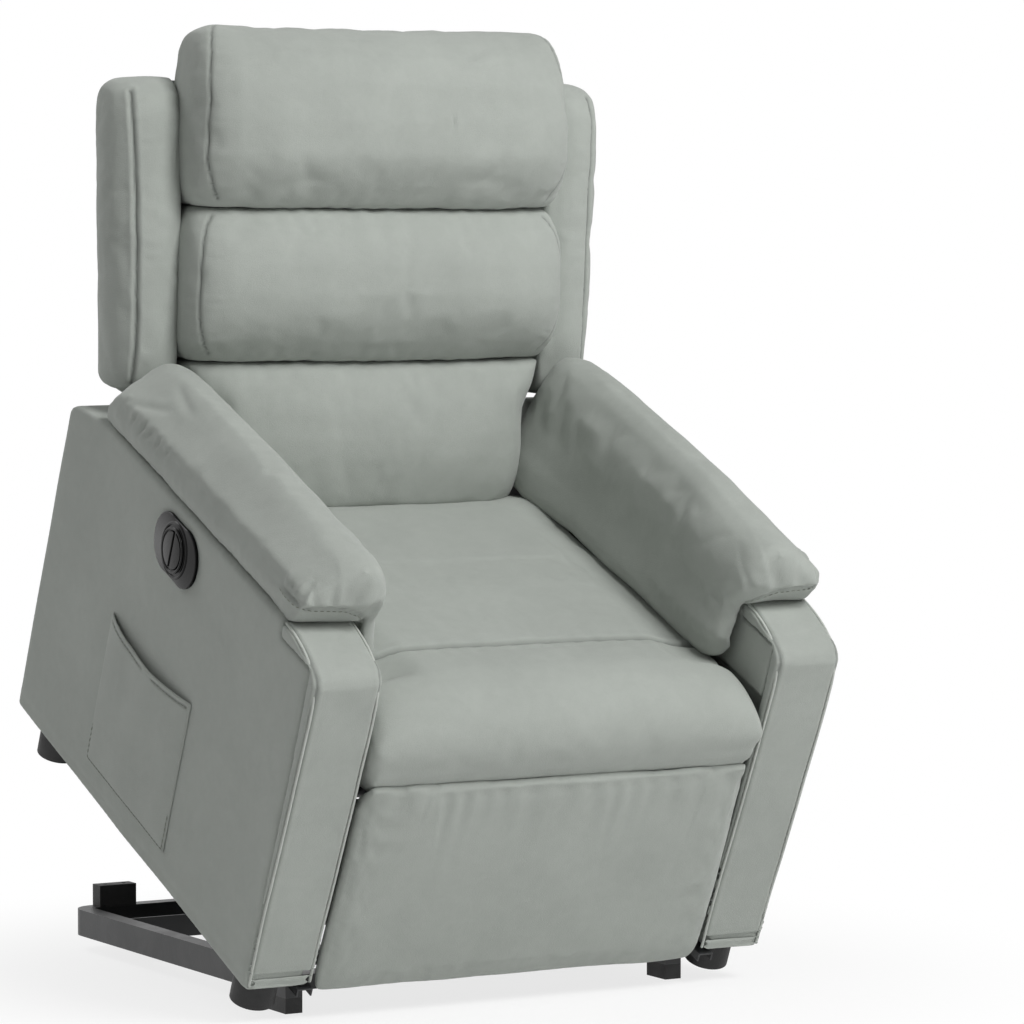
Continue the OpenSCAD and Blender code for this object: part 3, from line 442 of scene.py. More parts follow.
def shell_of(node, name):
    """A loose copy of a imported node, its triangles merged into one skin."""
    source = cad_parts[node]
    obj = bpy.data.objects.new(name, source.data.copy())
    scene.collection.objects.link(obj)
    obj.data.materials.clear()
    edit(obj, bpy.ops.mesh.remove_doubles, threshold=0.00002)
    return obj


def points_of(obj):
    flat = np.empty(len(obj.data.vertices) * 3)
    obj.data.vertices.foreach_get("co", flat)
    return flat.reshape(-1, 3)


def normals_of(obj):
    flat = np.empty(len(obj.data.vertices) * 3)
    obj.data.vertices.foreach_get("normal", flat)
    return flat.reshape(-1, 3)


def set_points(obj, points):
    obj.data.vertices.foreach_set("co", np.asarray(points, float).ravel())
    obj.data.update()


print("mesh helpers ready")

# %% Helper: finish a piece with a material and a body, and hide the imported parts it replaces
def dress(obj, material, body, replaces=()):
    obj.data.materials.clear()
    obj.data.materials.append(material)
    only(obj)
    bpy.ops.object.shade_smooth_by_angle(angle=math.radians(50))
    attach(obj, body)
    if replaces:
        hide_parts(*replaces)
    obj.data.calc_loop_triangles()
    print(obj.name, "triangles:", len(obj.data.loop_triangles), "rides on", body)
    return obj


print("dress helper ready")

# %% [markdown]
# A stuffed cushion is blown up like the real one: its cover is a cloth under a little pressure
# from inside. The cover is cut slightly too large, so it puckers beside the lines where it is
# sewn down, and those lines are pinned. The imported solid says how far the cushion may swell, so
# that neighbours never press through each other: points that went past it are laid back on it.
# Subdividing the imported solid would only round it, and swellings modelled by hand look regular,
# so a short simulation is the better way to a soft face.

# %% Helper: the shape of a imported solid, remeshed to an even skin
def even_skin(node, name, voxel, shrink):
    obj = shell_of(node, name)
    only(obj)
    modify(obj, "REMESH", mode="VOXEL", voxel_size=voxel)
    modify(obj, "SMOOTH", iterations=4)
    if shrink:
        modify(obj, "DISPLACE", mid_level=0, strength=-shrink)
    finish_modifiers(obj)
    return obj


def tree_of(obj):
    return BVHTree.FromPolygons([v.co for v in obj.data.vertices],
                                [tuple(p.vertices) for p in obj.data.polygons])


def solid_tree(node):
    shell = shell_of(node, "solid_tree")
    tree = tree_of(shell)
    bpy.data.objects.remove(shell)
    return tree


def lay_back(points, tree, proud, deep):
    """Moves points that stand more than proud out of the solid, or lie deeper than deep in it."""
    moved = points.copy()
    for i, point in enumerate(points):
        where, normal, _, _ = tree.find_nearest(point)
        side = (Vector(point) - where).dot(normal)
        if side > proud:
            moved[i] = where + normal * proud
        elif side < -deep:
            moved[i] = where - (where - Vector(point)).normalized() * deep
    return moved


def settle(obj, node, proud=0.0012, deep=0.0035):
    """Brings a swollen piece back to its solid, then eases what that left uneven."""
    set_points(obj, lay_back(points_of(obj), solid_tree(node), proud, deep))
    modify(obj, "SMOOTH", factor=0.5, iterations=2)
    finish_modifiers(obj)


print("skin helpers ready")

# %% Helpers: pull a region of a piece, and the two ramps that say where the region fades
def pull(obj, place, weight, shift):
    """Moves points of a tilted frame by shift, as far as weight (0 to 1) says for each one."""
    local = come(place, points_of(obj))
    share = np.clip(weight(*local.T), 0, 1)
    move = [(part(*local.T) if callable(part) else part) * np.ones(len(local)) for part in shift]
    set_points(obj, go(place, local + share[:, None] * np.column_stack(move)))


def above(value, start, width):
    """0 up to start, and 1 from a width beyond it."""
    return np.clip((value - start) / width, 0, 1)


def under(value, start, width):
    """0 down to start, and 1 from a width below it."""
    return np.clip((start - value) / width, 0, 1)


def outward(reach):
    """A shift away from the chair's middle plane."""
    return (lambda x, y, z: np.sign(x) * reach, 0, 0)


print("pull helpers ready")

# %% Helper: stuff a cushion with a cloth simulation
sim_frames = 20
cover_stiffness = 12.0


def stuff(obj, pinned, pressure, slack, cap):
    """pinned is a share from 0 to 1 for each point: how firmly it is sewn down. slack is how
    much too large the cover is cut, and cap is how far a point may swell."""
    start = points_of(obj)
    group = obj.vertex_groups.new(name="sewn")
    for level in (0.25, 0.5, 0.75, 1.0):
        members = np.flatnonzero((pinned > level - 0.25) & (pinned <= level))
        group.add(members.tolist(), level, "REPLACE")
    cloth_modifier = obj.modifiers.new("cover", "CLOTH")
    settings = cloth_modifier.settings
    settings.quality = 4
    settings.mass = 0.25
    settings.tension_stiffness = cover_stiffness
    settings.compression_stiffness = cover_stiffness
    settings.shear_stiffness = cover_stiffness * 0.4
    settings.bending_stiffness = 0.35
    settings.shrink_min = -slack
    settings.use_pressure = True
    settings.uniform_pressure_force = pressure
    settings.effector_weights.gravity = 0
    settings.vertex_group_mass = "sewn"
    settings.pin_stiffness = 1.0
    cloth_modifier.collision_settings.use_collision = False
    for number in range(1, sim_frames + 1):
        scene.frame_set(number)
    only(obj)
    bpy.ops.object.modifier_apply(modifier=cloth_modifier.name)
    scene.frame_set(1)
    move = points_of(obj) - start
    length = np.linalg.norm(move, axis=1, keepdims=True)
    set_points(obj, start + move * np.minimum(1, cap / np.maximum(length, 1e-9)))
    obj.vertex_groups.clear()
    print(obj.name, "swelled by up to", round(float(length.max()) * 1000, 1), "mm")


print("stuffing helper ready")

# %% [markdown]
# Seams, tucks and creases come after the simulation, because its even skin is too coarse for
# them. Each is a line drawn near the cover and laid onto it. Points close to the line are
# pressed in, and the strips just beside it rise a little, as cloth does beside a row of
# stitches. Gathers are short waves that start at a seam and die out away from it.

# %% Helper: how far each point is from a line, and where along it
def along_line(line, points):
    """Each point's distance from the line, how far along it the point lies, and its length."""
    line = np.asarray(line, float)
    best = np.full(len(points), 1e9)
    run = np.zeros(len(points))
    travelled = 0.0
    for a, b in zip(line[:-1], line[1:]):
        step = b - a
        length = float(np.linalg.norm(step))
        if length < 1e-9:
            continue
        share = np.clip(((points - a) @ step) / length**2, 0, 1)
        apart = np.linalg.norm(points - (a + share[:, None] * step), axis=1)
        closer = apart < best
        best[closer] = apart[closer]
        run[closer] = travelled + share[closer] * length
        travelled += length
    return best, run, travelled


def laid_line(obj, place, line, step=0.008):
    """The line of a tilted frame, resampled and laid onto the piece."""
    corners = go(place, line)
    dense = [corners[0]]
    for a, b in zip(corners[:-1], corners[1:]):
        count = max(1, int(np.linalg.norm(b - a) / step))
        dense += [a + (b - a) * (i + 1) / count for i in range(count)]
    tree = tree_of(obj)
    return np.array([tree.find_nearest(point)[0] for point in dense])


def normals_near(obj, path):
    tree = tree_of(obj)
    return np.array([tree.find_nearest(point)[1] for point in path])


# The seam attribute holds painted shade: how much the cloth colour is darkened at each point.
def seam_shade_values(obj):
    layer = obj.data.attributes.get("seam") or obj.data.attributes.new("seam", "FLOAT", "POINT")
    values = np.zeros(len(obj.data.vertices))
    layer.data.foreach_get("value", values)
    return layer, values


print("line helpers ready")

# %% Helpers: press a seam or a crease, and gather cloth beside a line
def press(obj, place, line, width, depth, painted_shade=0.0, ridge=0.35, fade=0.0):
    """Presses a groove along a line. The cloth beside it rises by a share of depth, ridge."""
    path = laid_line(obj, place, line)
    points, normals = points_of(obj), normals_of(obj)
    apart, run, whole = along_line(path, points)
    groove = np.exp(-((apart / width) ** 2))
    swell = np.exp(-(((apart - 2.1 * width) / (1.2 * width)) ** 2)) * ridge
    ends = np.ones(len(run))
    if fade:
        ends = np.clip(np.minimum(run, whole - run) / fade, 0, 1) ** 0.8
    set_points(obj, points + normals * (depth * ends * (swell - groove))[:, None])
    # Painted shade: the groove's line is darkened in the cover's seam attribute.
    if painted_shade:
        layer, values = seam_shade_values(obj)
        painted_line_shade = np.exp(-((apart / (width * 0.75)) ** 2)) * painted_shade * ends
        layer.data.foreach_set("value", np.maximum(values, painted_line_shade))
    return path


def gather(obj, place, line, reach, height, wave, side=None, seed=1):
    """side is a direction of the tilted frame: gathers run only on that side of the line."""
    path = laid_line(obj, place, line)
    points, normals = points_of(obj), normals_of(obj)
    apart, run, whole = along_line(path, points)
    phase = 2.0 * np.sin(run / wave * 0.9 + seed) + 1.3 * np.sin(run / wave * 0.37 + 2.1 * seed)
    length = reach * (0.7 + 0.3 * np.sin(run / wave * 1.7 + 3 * seed))
    fall = np.exp(-((apart / length) ** 1.6)) * np.clip(apart / 0.006, 0, 1)
    if side is not None:
        away = np.array(place.to_3x3() @ Vector(side))
        middle = path[np.minimum((run / max(whole, 1e-9) * (len(path) - 1)).astype(int),
                                 len(path) - 1)]
        fall *= np.clip(((points - middle) @ away) / 0.01, 0, 1)
    points += normals * (height * fall * np.sin(2 * math.pi * run / wave + phase))[:, None]
    set_points(obj, points)


print("seam helpers ready")

# %% Helper: the soft unevenness of a stuffed cover
def lumps(obj, height, size, seed):
    """Raises and sinks the cover by about height, in lumps of about size."""
    points, normals = points_of(obj), normals_of(obj)
    shift = Vector((seed, seed * 0.7, -seed))
    rise = []
    for point in points:
        place = Vector(point) / size
        rise.append(noise.noise(place + shift) + 0.45 * noise.noise(place * 2.3))
    set_points(obj, points + normals * (height * np.array(rise))[:, None])


def refine(obj):
    modify(obj, "SUBSURF", levels=1, render_levels=1)
    finish_modifiers(obj)


def to_side(side, line):
    """A line of the sitter's left side, on the side asked for: -1 is right and 1 is left."""
    return [(side * x, y, z) for x, y, z in line]


print("surface helpers ready")

# %% [markdown]
# Every seam is sewn with thread, and the wide edges of the chair have piping: a thin cord in its
# own tube of cloth. A stitch is a short six sided bead with tapered ends, repeated along a line.
# Piping is a chain of rings joined into a tube along a line. Both have few faces, because there
# are many stitches and long cords.

# %% Helpers: a tube along a line, and a row of stitches
def tube_faces(rings, sides, first=0):
    """The faces between a tube's rings, and the cap at each end."""
    faces = [(first + i * sides + k, first + i * sides + (k + 1) % sides,
              first + (i + 1) * sides + (k + 1) % sides, first + (i + 1) * sides + k)
             for i in range(rings - 1) for k in range(sides)]
    last = first + (rings - 1) * sides
    return faces + [tuple(range(first, first + sides))[::-1], tuple(range(last, last + sides))]


def tube_along(path, radius, name):
    sides = 8
    bpy.ops.mesh.primitive_circle_add(vertices=sides, radius=radius)
    obj = bpy.context.object
    obj.name = name
    ring = points_of(obj)
    path = np.asarray(path, float)
    ahead = np.gradient(path, axis=0)
    rings = []
    for place, forward in zip(path, ahead):
        turn = Vector(forward).to_track_quat("Z", "Y").to_matrix()
        rings.append(ring @ np.array(turn).T + place)
    obj.data.clear_geometry()
    obj.data.from_pydata(np.vstack(rings).tolist(), [], tube_faces(len(path), sides))
    obj.data.update()
    edit(obj, bpy.ops.mesh.normals_make_consistent, inside=False)
    return obj


def smooth_path(path):
    """Rounds a path's corners, because a cord can't bend sharply."""
    path = np.asarray(path, float)
    for _ in range(14):
        path[1:-1] = path[1:-1] * 0.5 + (path[:-2] + path[2:]) * 0.25
    return path


stitch_length, stitch_gap, stitch_radius = 0.0055, 0.0030, 0.00055
bead_profile = ((0.0, 0.35), (0.15, 0.9), (0.5, 1.1), (0.85, 0.9), (1.0, 0.35))


def stitch_row(path, name):
    """Stitches along a laid line; the profile gives their thickness along their length."""
    path = np.asarray(path, float)
    steps = np.linalg.norm(np.diff(path, axis=0), axis=1)
    run = np.concatenate([[0], np.cumsum(steps)])
    vertices, faces = [], []
    sides = 6
    place = 0.0
    while place + stitch_length < run[-1]:
        a, b = [np.array([np.interp(t, run, path[:, k]) for k in range(3)])
                for t in (place, place + stitch_length)]
        forward = (b - a) / np.linalg.norm(b - a)
        turn = np.array(Vector(forward).to_track_quat("Z", "Y").to_matrix())
        faces += tube_faces(len(bead_profile), sides, first=len(vertices))
        for share, fat in bead_profile:
            for k in range(sides):
                angle = 2 * math.pi * k / sides
                ring = np.array([math.cos(angle) * stitch_radius * fat,
                                 math.sin(angle) * stitch_radius * fat, 0])
                vertices.append(a + (b - a) * share + turn @ ring)
        place += stitch_length + stitch_gap
    mesh = bpy.data.meshes.new(name)
    mesh.from_pydata([tuple(v) for v in vertices], [], faces)
    obj = bpy.data.objects.new(name, mesh)
    scene.collection.objects.link(obj)
    return obj


def sew(path, name, body):
    return dress(stitch_row(path, name), thread, body)


print("piping and stitch helpers ready")

# %% [markdown]
# The back has three stuffed cushions. The headrest is the fullest and rolls over at its top,
# the lumbar cushion swells below it, and the lower cushion is flatter and narrower where it
# goes down between the arms. Each is sewn to the back frame's cover behind, so its rear face
# and its top and bottom seams stay down while the front swells. Each is made alone from its own
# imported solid, because a small simulation is quick and stays even.

# %% The three stuffed cushions of the back, between seams at these heights up the back
back_top, top_seam, low_seam, back_bottom = 0.70, 0.355, 0.146, -0.047


def back_cushion(node, low, high, pressure, slack, cap):
    obj = even_skin(node, "stuffed_" + node, 0.008, 0.002)
    local = come(back_place, points_of(obj))
    rear = above(local[:, 1], -0.085, 0.05)
    ends = np.clip(1 - np.minimum(local[:, 2] - low, high - local[:, 2]) / 0.016, 0, 1)
    stuff(obj, np.maximum(rear, ends * 0.9), pressure, slack, cap)
    settle(obj, node)
    refine(obj)
    return obj


headrest = back_cushion("headrest_cushion", top_seam, back_top, 4.0, 0.015, 0.024)
lumbar = back_cushion("lumbar_cushion", low_seam, top_seam, 4.0, 0.015, 0.024)
lower_back = back_cushion("lower_back_cushion", back_bottom, low_seam, 3.0, 0.01, 0.02)

# %% The cushions' sides bulge over the bolsters, and the lower cushion reaches behind the seat
for piece, reach in ((headrest, 0.0095), (lumbar, 0.0085)):
    pull(piece, back_place, lambda x, y, z: above(np.abs(x), 0.12, 0.14) * under(y, -0.03, 0.03),
         outward(reach))
steepness = ((-0.05, -0.02, 0.03, 0.09, 0.12), (3.0, 2.3, 1.4, 1.5, 1.7))
pull(lower_back, back_place,
     lambda x, y, z: above(np.abs(x), 0.13, 0.10) * np.interp(z, *steepness), outward(0.014))
pull(lower_back, back_place, lambda x, y, z: under(z, 0.005, 0.045), (0, 0, -0.012))
for piece in (lower_back, headrest):
    width = np.ptp(come(back_place, points_of(piece))[:, 0])
    print(piece.name, "is", round(float(width), 3), "m wide")

# %% The two cross seams are pulled tight, so that the cushions meet there
for piece, height, push in ((headrest, top_seam, -0.003), (lumbar, top_seam, 0.003),
                            (lumbar, low_seam, -0.002), (lower_back, low_seam, 0.003)):
    pull(piece, back_place, lambda x, y, z: np.clip(1 - np.abs(z - height) / 0.022, 0, 1),
         (0, 0, push))
print("seams at", top_seam, "and", low_seam, "m up the back")

# %% Helper: a seam down one side of a back piece, with gathers to both sides of it
def side_seam(obj, side, seam, tight, inner, outer):
    """tight is the groove's width, depth, painted shade and ridge; inner and outer are the gathers'
    reach, height, wave length and seed."""
    width, depth, painted_shade, ridge = tight
    press(obj, back_place, seam, width, depth, painted_shade=painted_shade, ridge=ridge)
    for way, (reach, height, wave, seed) in ((-side, inner), (side, outer)):
        gather(obj, back_place, seam, reach, height, wave, side=(way, 0, 0), seed=side + seed)


# The third value is the painted shade darkening the seam.
sewn_tight = (0.0026, 0.0022, 0.8, 0.1)
print("side seams are", sewn_tight[0] * 1000, "mm wide")

# %% Seams, gathers and folds of the headrest
headrest_edge = ((0.256, -0.160, 0.362), (0.274, -0.166, 0.42), (0.278, -0.168, 0.50),
                 (0.266, -0.150, 0.560), (0.244, -0.112, 0.592))
for side in (-1, 1):
    side_seam(headrest, side, to_side(side, headrest_edge), sewn_tight,
              (0.030, 0.0008, 0.019, 2), (0.026, 0.0006, 0.015, 5))
for fold in ([(-0.20, -0.175, 0.380), (-0.14, -0.19, 0.395), (-0.07, -0.20, 0.392)],
             [(0.05, -0.20, 0.390), (0.13, -0.19, 0.398), (0.21, -0.175, 0.384)]):
    press(headrest, back_place, fold, 0.012, 0.0014, fade=0.05)
pucker = [(0.071, -0.21, 0.490), (0.074, -0.21, 0.476), (0.070, -0.21, 0.460)]
press(headrest, back_place, pucker, 0.0030, 0.0020, ridge=0.6, fade=0.012)
lumps(headrest, 0.0022, 0.11, 1.3)
lumps(headrest, 0.0005, 0.03, 4.1)
print("headrest points:", len(headrest.data.vertices))

# %% Seams and gathers of the lumbar and lower cushions
lumbar_edge = ((0.258, -0.148, 0.152), (0.276, -0.158, 0.20), (0.279, -0.160, 0.27),
               (0.272, -0.156, 0.33), (0.258, -0.148, 0.350))
for side in (-1, 1):
    side_seam(lumbar, side, to_side(side, lumbar_edge), sewn_tight,
              (0.028, 0.0008, 0.017, 9), (0.024, 0.0006, 0.015, 7))


def cross_gathers(obj, half, depth, height, *form, seed):
    """Gathers along a cross seam. form is their reach, height and wave length."""
    line = [(x, depth, height) for x in (-half, -half / 2, 0, half / 2, half)]
    gather(obj, back_place, line, *form, seed=seed)


cross_gathers(lumbar, 0.24, -0.165, 0.352, 0.026, 0.0008, 0.034, seed=3)
cross_gathers(headrest, 0.24, -0.165, 0.357, 0.030, 0.0008, 0.037, seed=8)
cross_gathers(lumbar, 0.22, -0.155, 0.149, 0.026, 0.0008, 0.031, seed=5)
cross_gathers(lower_back, 0.22, -0.150, 0.143, 0.030, 0.0006, 0.035, seed=6)
for piece, seed in ((lumbar, 2.7), (lower_back, 5.5)):
    lumps(piece, 0.0020, 0.10, seed)
    lumps(piece, 0.0005, 0.03, seed + 1)
dress(headrest, cloth, "backrest", ["headrest_cushion"])
dress(lumbar, cloth, "backrest", ["lumbar_cushion"])
dress(lower_back, cloth, "backrest", ["lower_back_cushion"])

# %% [markdown]
# The side bolsters stand at both sides of the back and turn the corner to its rear. A seam runs
# down each one's front, about two fingers from its outer edge, where the front piece of cloth
# meets the side piece. The inner and rear faces are held by the frame, so they are pinned, and
# only the front and the outer side swell.

# %% Side bolsters
bolster_seam = ((0.348, -0.10, 0.112), (0.350, -0.114, 0.17), (0.352, -0.118, 0.26),
                (0.355, -0.117, 0.36), (0.358, -0.110, 0.45), (0.354, -0.09, 0.512))


def side_bolster(node, side):
    obj = even_skin(node, "stuffed_" + node, 0.007, 0.002)
    local = come(back_place, points_of(obj))
    inner = under(np.abs(local[:, 0]), 0.292, 0.006)
    rear = above(local[:, 1], -0.03, 0.02)
    stuff(obj, np.maximum(inner, rear), 4.0, 0.015, 0.018)
    settle(obj, node)
    # The inner face closes on the cushions, and the inner bottom goes down behind the arm pad
    pull(obj, back_place, lambda x, y, z: (np.abs(x) < 0.294) * under(y, -0.036, 0.012),
         outward(-0.0075))
    pull(obj, back_place, lambda x, y, z: under(z, 0.16, 0.05) * under(np.abs(x), 0.34, 0.03),
         (0, 0, -0.017))
    refine(obj)
    # The 0.85 is painted shade darkening the bolster's seam.
    side_seam(obj, side, to_side(side, bolster_seam), (0.0032, 0.0032, 0.85, 0.35),
              (0.026, 0.0007, 0.021, 4), (0.022, 0.0006, 0.017, 6))
    lumps(obj, 0.0016, 0.08, 7.0 + side)
    dress(obj, cloth, "backrest", [node])


side_bolster("right_bolster", -1)
side_bolster("left_bolster", 1)

# %% [markdown]
# The seat cushion is one long pad. A seam crosses it behind its front edge and makes the thick
# front roll, which hangs down in front as far as the footrest's upper lip. The lip passes close
# under the roll when the footrest swings out. Two freely swollen shapes would touch there, so
# both are laid on round lines about the footrest's hinge, less than a millimetre apart.

# %% Helper: the seat's front roll and the footrest's lip meet at a round line about the hinge
footrest_hinge = (0.070, 0.395)
roll_radius = 0.0890
lip_radius = 0.0898
lip_root, lip_top = 0.315, 0.3445


def round_hinge(local):
    """How far each point of the seat frame lies below and in front of the footrest's hinge."""
    below, before = footrest_hinge[1] - local[:, 2], footrest_hinge[0] - local[:, 1]
    return below, before, np.hypot(below, before)


def lay_round(obj, local, below, before, far, radius, share):
    """Moves points along their spokes from the hinge to the round line, as far as share says."""
    scale = (far + share * (radius - far)) / np.maximum(far, 1e-6)
    local[:, 1] = footrest_hinge[0] - before * scale
    local[:, 2] = footrest_hinge[1] - below * scale
    set_points(obj, go(seat_place, local))
    print(obj.name, "points on the round line:", int((share > 0.5).sum()))


def round_roll(obj):
    local = come(seat_place, points_of(obj))
    below, before, far = round_hinge(local)
    sector = above(below, 0.022, 0.012) * above(before, 0.03, 0.02)
    share = np.clip((far - roll_radius + 0.012) / 0.006, 0, 1) * sector
    lay_round(obj, local, below, before, far, roll_radius, share)


def round_lip(obj):
    local = come(seat_place, points_of(obj))
    below, before, far = round_hinge(local)
    here = (before > 0.03) & (below > 0.02)
    top = np.quantile(local[here & (far < 0.11)][:, 2], 0.98)
    height = np.clip((local[:, 2] - lip_root) / (top - lip_root), 0, 1.1) * here
    local[:, 2] += height * (lip_top - top)
    below, before, far = round_hinge(local)
    share = np.clip((lip_radius + 0.006 - far) / 0.003, 0, 1) * here
    lay_round(obj, local, below, before, far, lip_radius, share)


# %% Seat cushion
seat = even_skin("seat_cushion", "stuffed_seat_cushion", 0.009, 0.0015)
local = come(seat_place, points_of(seat))
seam_depth = 0.150
across_cushion = (-0.262, -0.13, 0, 0.13, 0.262)
floor_share = under(local[:, 2], 0.362, 0.008)
seam_share = np.exp(-(((local[:, 1] - seam_depth) / 0.009) ** 2)) * (local[:, 2] > 0.42)
stuff(seat, np.maximum(floor_share, seam_share), 4.0, 0.008, 0.024)
settle(seat, "seat_cushion", 0.0008, 0.0022)
pull(seat, seat_place, lambda x, y, z: above(y, 0.59, 0.04) * (z > 0.40), (0, 0, 0.005))
pull(seat, seat_place, lambda x, y, z: above(y, 0.50, 0.08) * (z > 0.38)
     * above(np.abs(x), 0.19, 0.04), (0, 0, 0.007))
pull(seat, seat_place, lambda x, y, z: under(y, 0.10, 0.04) * above(np.abs(x), 0.2, 0.06),
     outward(0.006))
refine(seat)
cross_seam = [(x, seam_depth, 0.4535) for x in across_cushion]
# The cross seam is darkened: painted shade in its groove.
press(seat, seat_place, cross_seam, 0.0045, 0.0055, painted_shade=0.9)
gather(seat, seat_place, cross_seam, 0.040, 0.0007, 0.036, side=(0, -1, 0), seed=2)
gather(seat, seat_place, cross_seam, 0.045, 0.0007, 0.041, side=(0, 1, 0), seed=4)
lumps(seat, 0.0009, 0.14, 3.3)
round_roll(seat)
lumps(seat, 0.0003, 0.04, 9.3)
dress(seat, cloth, "seat", ["seat_cushion"])

# %% [markdown]
# The footrest pad hangs down in front of its board. Its upper edge is a thin lip that swings
# round the seat's front roll, so only a narrow seam shows there. The cloth is gathered into it.
# The pad is stuffed much less than a cushion, because its board lies close behind its face.

# %% Footrest pad
footrest = even_skin("footrest_pad", "stuffed_footrest_pad", 0.005, 0.0005)
local = come(seat_place, points_of(footrest))
stuff(footrest, above(local[:, 1], 0.014, 0.008), 2.2, 0.006, 0.012)
settle(footrest, "footrest_pad", 0.0008, 0.003)
pull(footrest, seat_place, lambda x, y, z: above(np.abs(x), 0.2, 0.07)
     * np.clip((0.345 - z) / 0.04, 0.3, 1), outward(0.008))
pull(footrest, seat_place, lambda x, y, z: under(z, 0.10, 0.06), (0, 0, -0.009))
refine(footrest)
top_edge = [(x, -0.014, 0.336) for x in across_cushion]
gather(footrest, seat_place, top_edge, 0.060, 0.0012, 0.034, side=(0, 0, -1), seed=3)
round_lip(footrest)
for side in (-1, 1):
    hem = [(side * 0.262, -0.002, z) for z in (0.060, 0.15, 0.24, 0.315)]
    gather(footrest, seat_place, hem, 0.030, 0.0012, 0.047, side=(-side, 0, 0), seed=side + 3)
lumps(footrest, 0.0020, 0.13, 6.3)
dress(footrest, cloth, "footrest", ["footrest_pad"])

# %% [markdown]
# The arm pads are pillows laid over the panels' tops: full and round on top, drawn in where
# they meet the panel, and closed in front with a gathered tuck. Where the pad turns down
# inside, it is held between the panel and the seat cushion. The simulation gives the soft face
# but not the tailor's cut, so a few pulls give the pad its outline before its seams are pressed.

# %% Helper: the pulls that give an arm pad its outline, all in the seat frame
def shape_pad(obj, side):
    def tug(weight, x=0.0, y=0.0, z=0.0):
        pull(obj, seat_place, weight, (side * x, y, z))

    # The front end leans forward over the arm front, and its inner corner is drawn in
    tug(lambda x, y, z: under(y, 0.24, 0.13) ** 1.5 * above(z, 0.532, 0.03), y=-0.021, z=0.003)
    tug(lambda x, y, z: under(y, 0.30, 0.15) * under(np.abs(x), 0.335, 0.03) * (z > 0.48),
        x=-0.009, y=-0.004)
    # The outer edge tucks in where it meets the panel
    tug(lambda x, y, z: above(np.abs(x), 0.380, 0.010) * under(z, 0.60, 0.03), x=-0.0075)
    # The inner flap reaches down beside the seat cushion, and further in at the rear
    tug(lambda x, y, z: under(np.abs(x), 0.298, 0.012) * under(z, 0.50, 0.03), x=-0.004, z=-0.008)
    tug(lambda x, y, z: above(y, 0.48, 0.1) * (np.abs(x) < 0.31) * under(z, 0.54, 0.05),
        x=-0.012, z=-0.004)
    # The crest is full
    tug(lambda x, y, z: np.interp(y, (0.13, 0.26, 0.52, 0.66), (0, 1, 1, 0.3))
        * above(z, 0.56, 0.05) * np.interp(np.abs(x), (0.26, 0.30, 0.35, 0.385), (0.4, 1, 1, 0.3)),
        x=-0.003, z=0.014)
    # The rear end goes back to the bolster, and the front end's underside hangs a little
    tug(lambda x, y, z: above(y, 0.60, 0.08) * above(np.abs(x), 0.32, 0.04), y=0.009, z=-0.002)
    tug(lambda x, y, z: under(y, 0.17, 0.05) * under(z, 0.553, 0.012) * (np.abs(x) > 0.29),
        z=-0.005)


print("pad helper ready")

# %% Arm pads
tuck_line = ((0.391, 0.128, 0.569), (0.389, 0.108, 0.566), (0.383, 0.092, 0.564),
             (0.373, 0.082, 0.563), (0.358, 0.074, 0.562), (0.335, 0.070, 0.560),
             (0.315, 0.072, 0.557), (0.298, 0.079, 0.551), (0.285, 0.090, 0.540),
             (0.276, 0.100, 0.525), (0.268, 0.118, 0.50))
rear_folds = (((0.394, 0.630, 0.590), (0.386, 0.585, 0.612), (0.372, 0.545, 0.622)),
              ((0.330, 0.590, 0.620), (0.345, 0.550, 0.624), (0.352, 0.500, 0.622)))
outer_creases = ((0.640, 0.580, 0.600), (0.606, 0.560, 0.590), (0.578, 0.556, 0.592),
                 (0.556, 0.566, 0.584), (0.530, 0.562, 0.590), (0.500, 0.568, 0.586))


def arm_pad(node, side):
    obj = even_skin(node, "stuffed_" + node, 0.008, 0.002)
    local = come(seat_place, points_of(obj))
    low = under(local[:, 2], 0.540, 0.010)
    flap = under(side * local[:, 0], 0.290, 0.01) * under(local[:, 2], 0.52, 0.02)
    stuff(obj, np.maximum(low, flap), 4.0, 0.02, 0.022)
    settle(obj, node, 0.0015, 0.004)
    shape_pad(obj, side)
    refine(obj)
    outer = [(side * 0.388, y, 0.540) for y in (0.105, 0.25, 0.42, 0.56, 0.675)]
    gather(obj, seat_place, outer, 0.022, 0.0006, 0.027, side=(0, 0, 1), seed=side + 3)
    tuck = to_side(side, tuck_line)
    # The tuck is darkened: painted shade in its fold.
    press(obj, seat_place, tuck, 0.0026, 0.0028, painted_shade=0.45, fade=0.02)
    gather(obj, seat_place, tuck, 0.055, 0.0026, 0.024, side=(0, 0, 1), seed=side + 5)
    below = laid_line(obj, seat_place, [(x, y, z - 0.006) for x, y, z in tuck], 0.004)
    sew(below + normals_near(obj, below) * 0.0003, "tuck_stitches_" + node, "seat")
    for fold in rear_folds:
        press(obj, seat_place, to_side(side, fold), 0.006, 0.0018, fade=0.03)
    for depth, start, end in outer_creases:
        crease = ((0.394, depth, start), (0.393, depth - 0.010, (start + end) / 2),
                  (0.390, depth - 0.014, end))
        press(obj, seat_place, to_side(side, crease), 0.0035, 0.0022, ridge=0.7, fade=0.012)
    lumps(obj, 0.0016, 0.10, 11.0 + side)
    lumps(obj, 0.0003, 0.03, 13.0 + side)
    dress(obj, cloth, "seat", [node])


arm_pad("right_arm_pad", -1)
arm_pad("left_arm_pad", 1)

# %% [markdown]
# The side panels are boards under a thin layer of foam, so they stay flat, with soft edges.
# Only a slow unevenness shows that the cloth is stretched over padding by hand. A simulation
# would blow them up like pillows, so they are made without one.

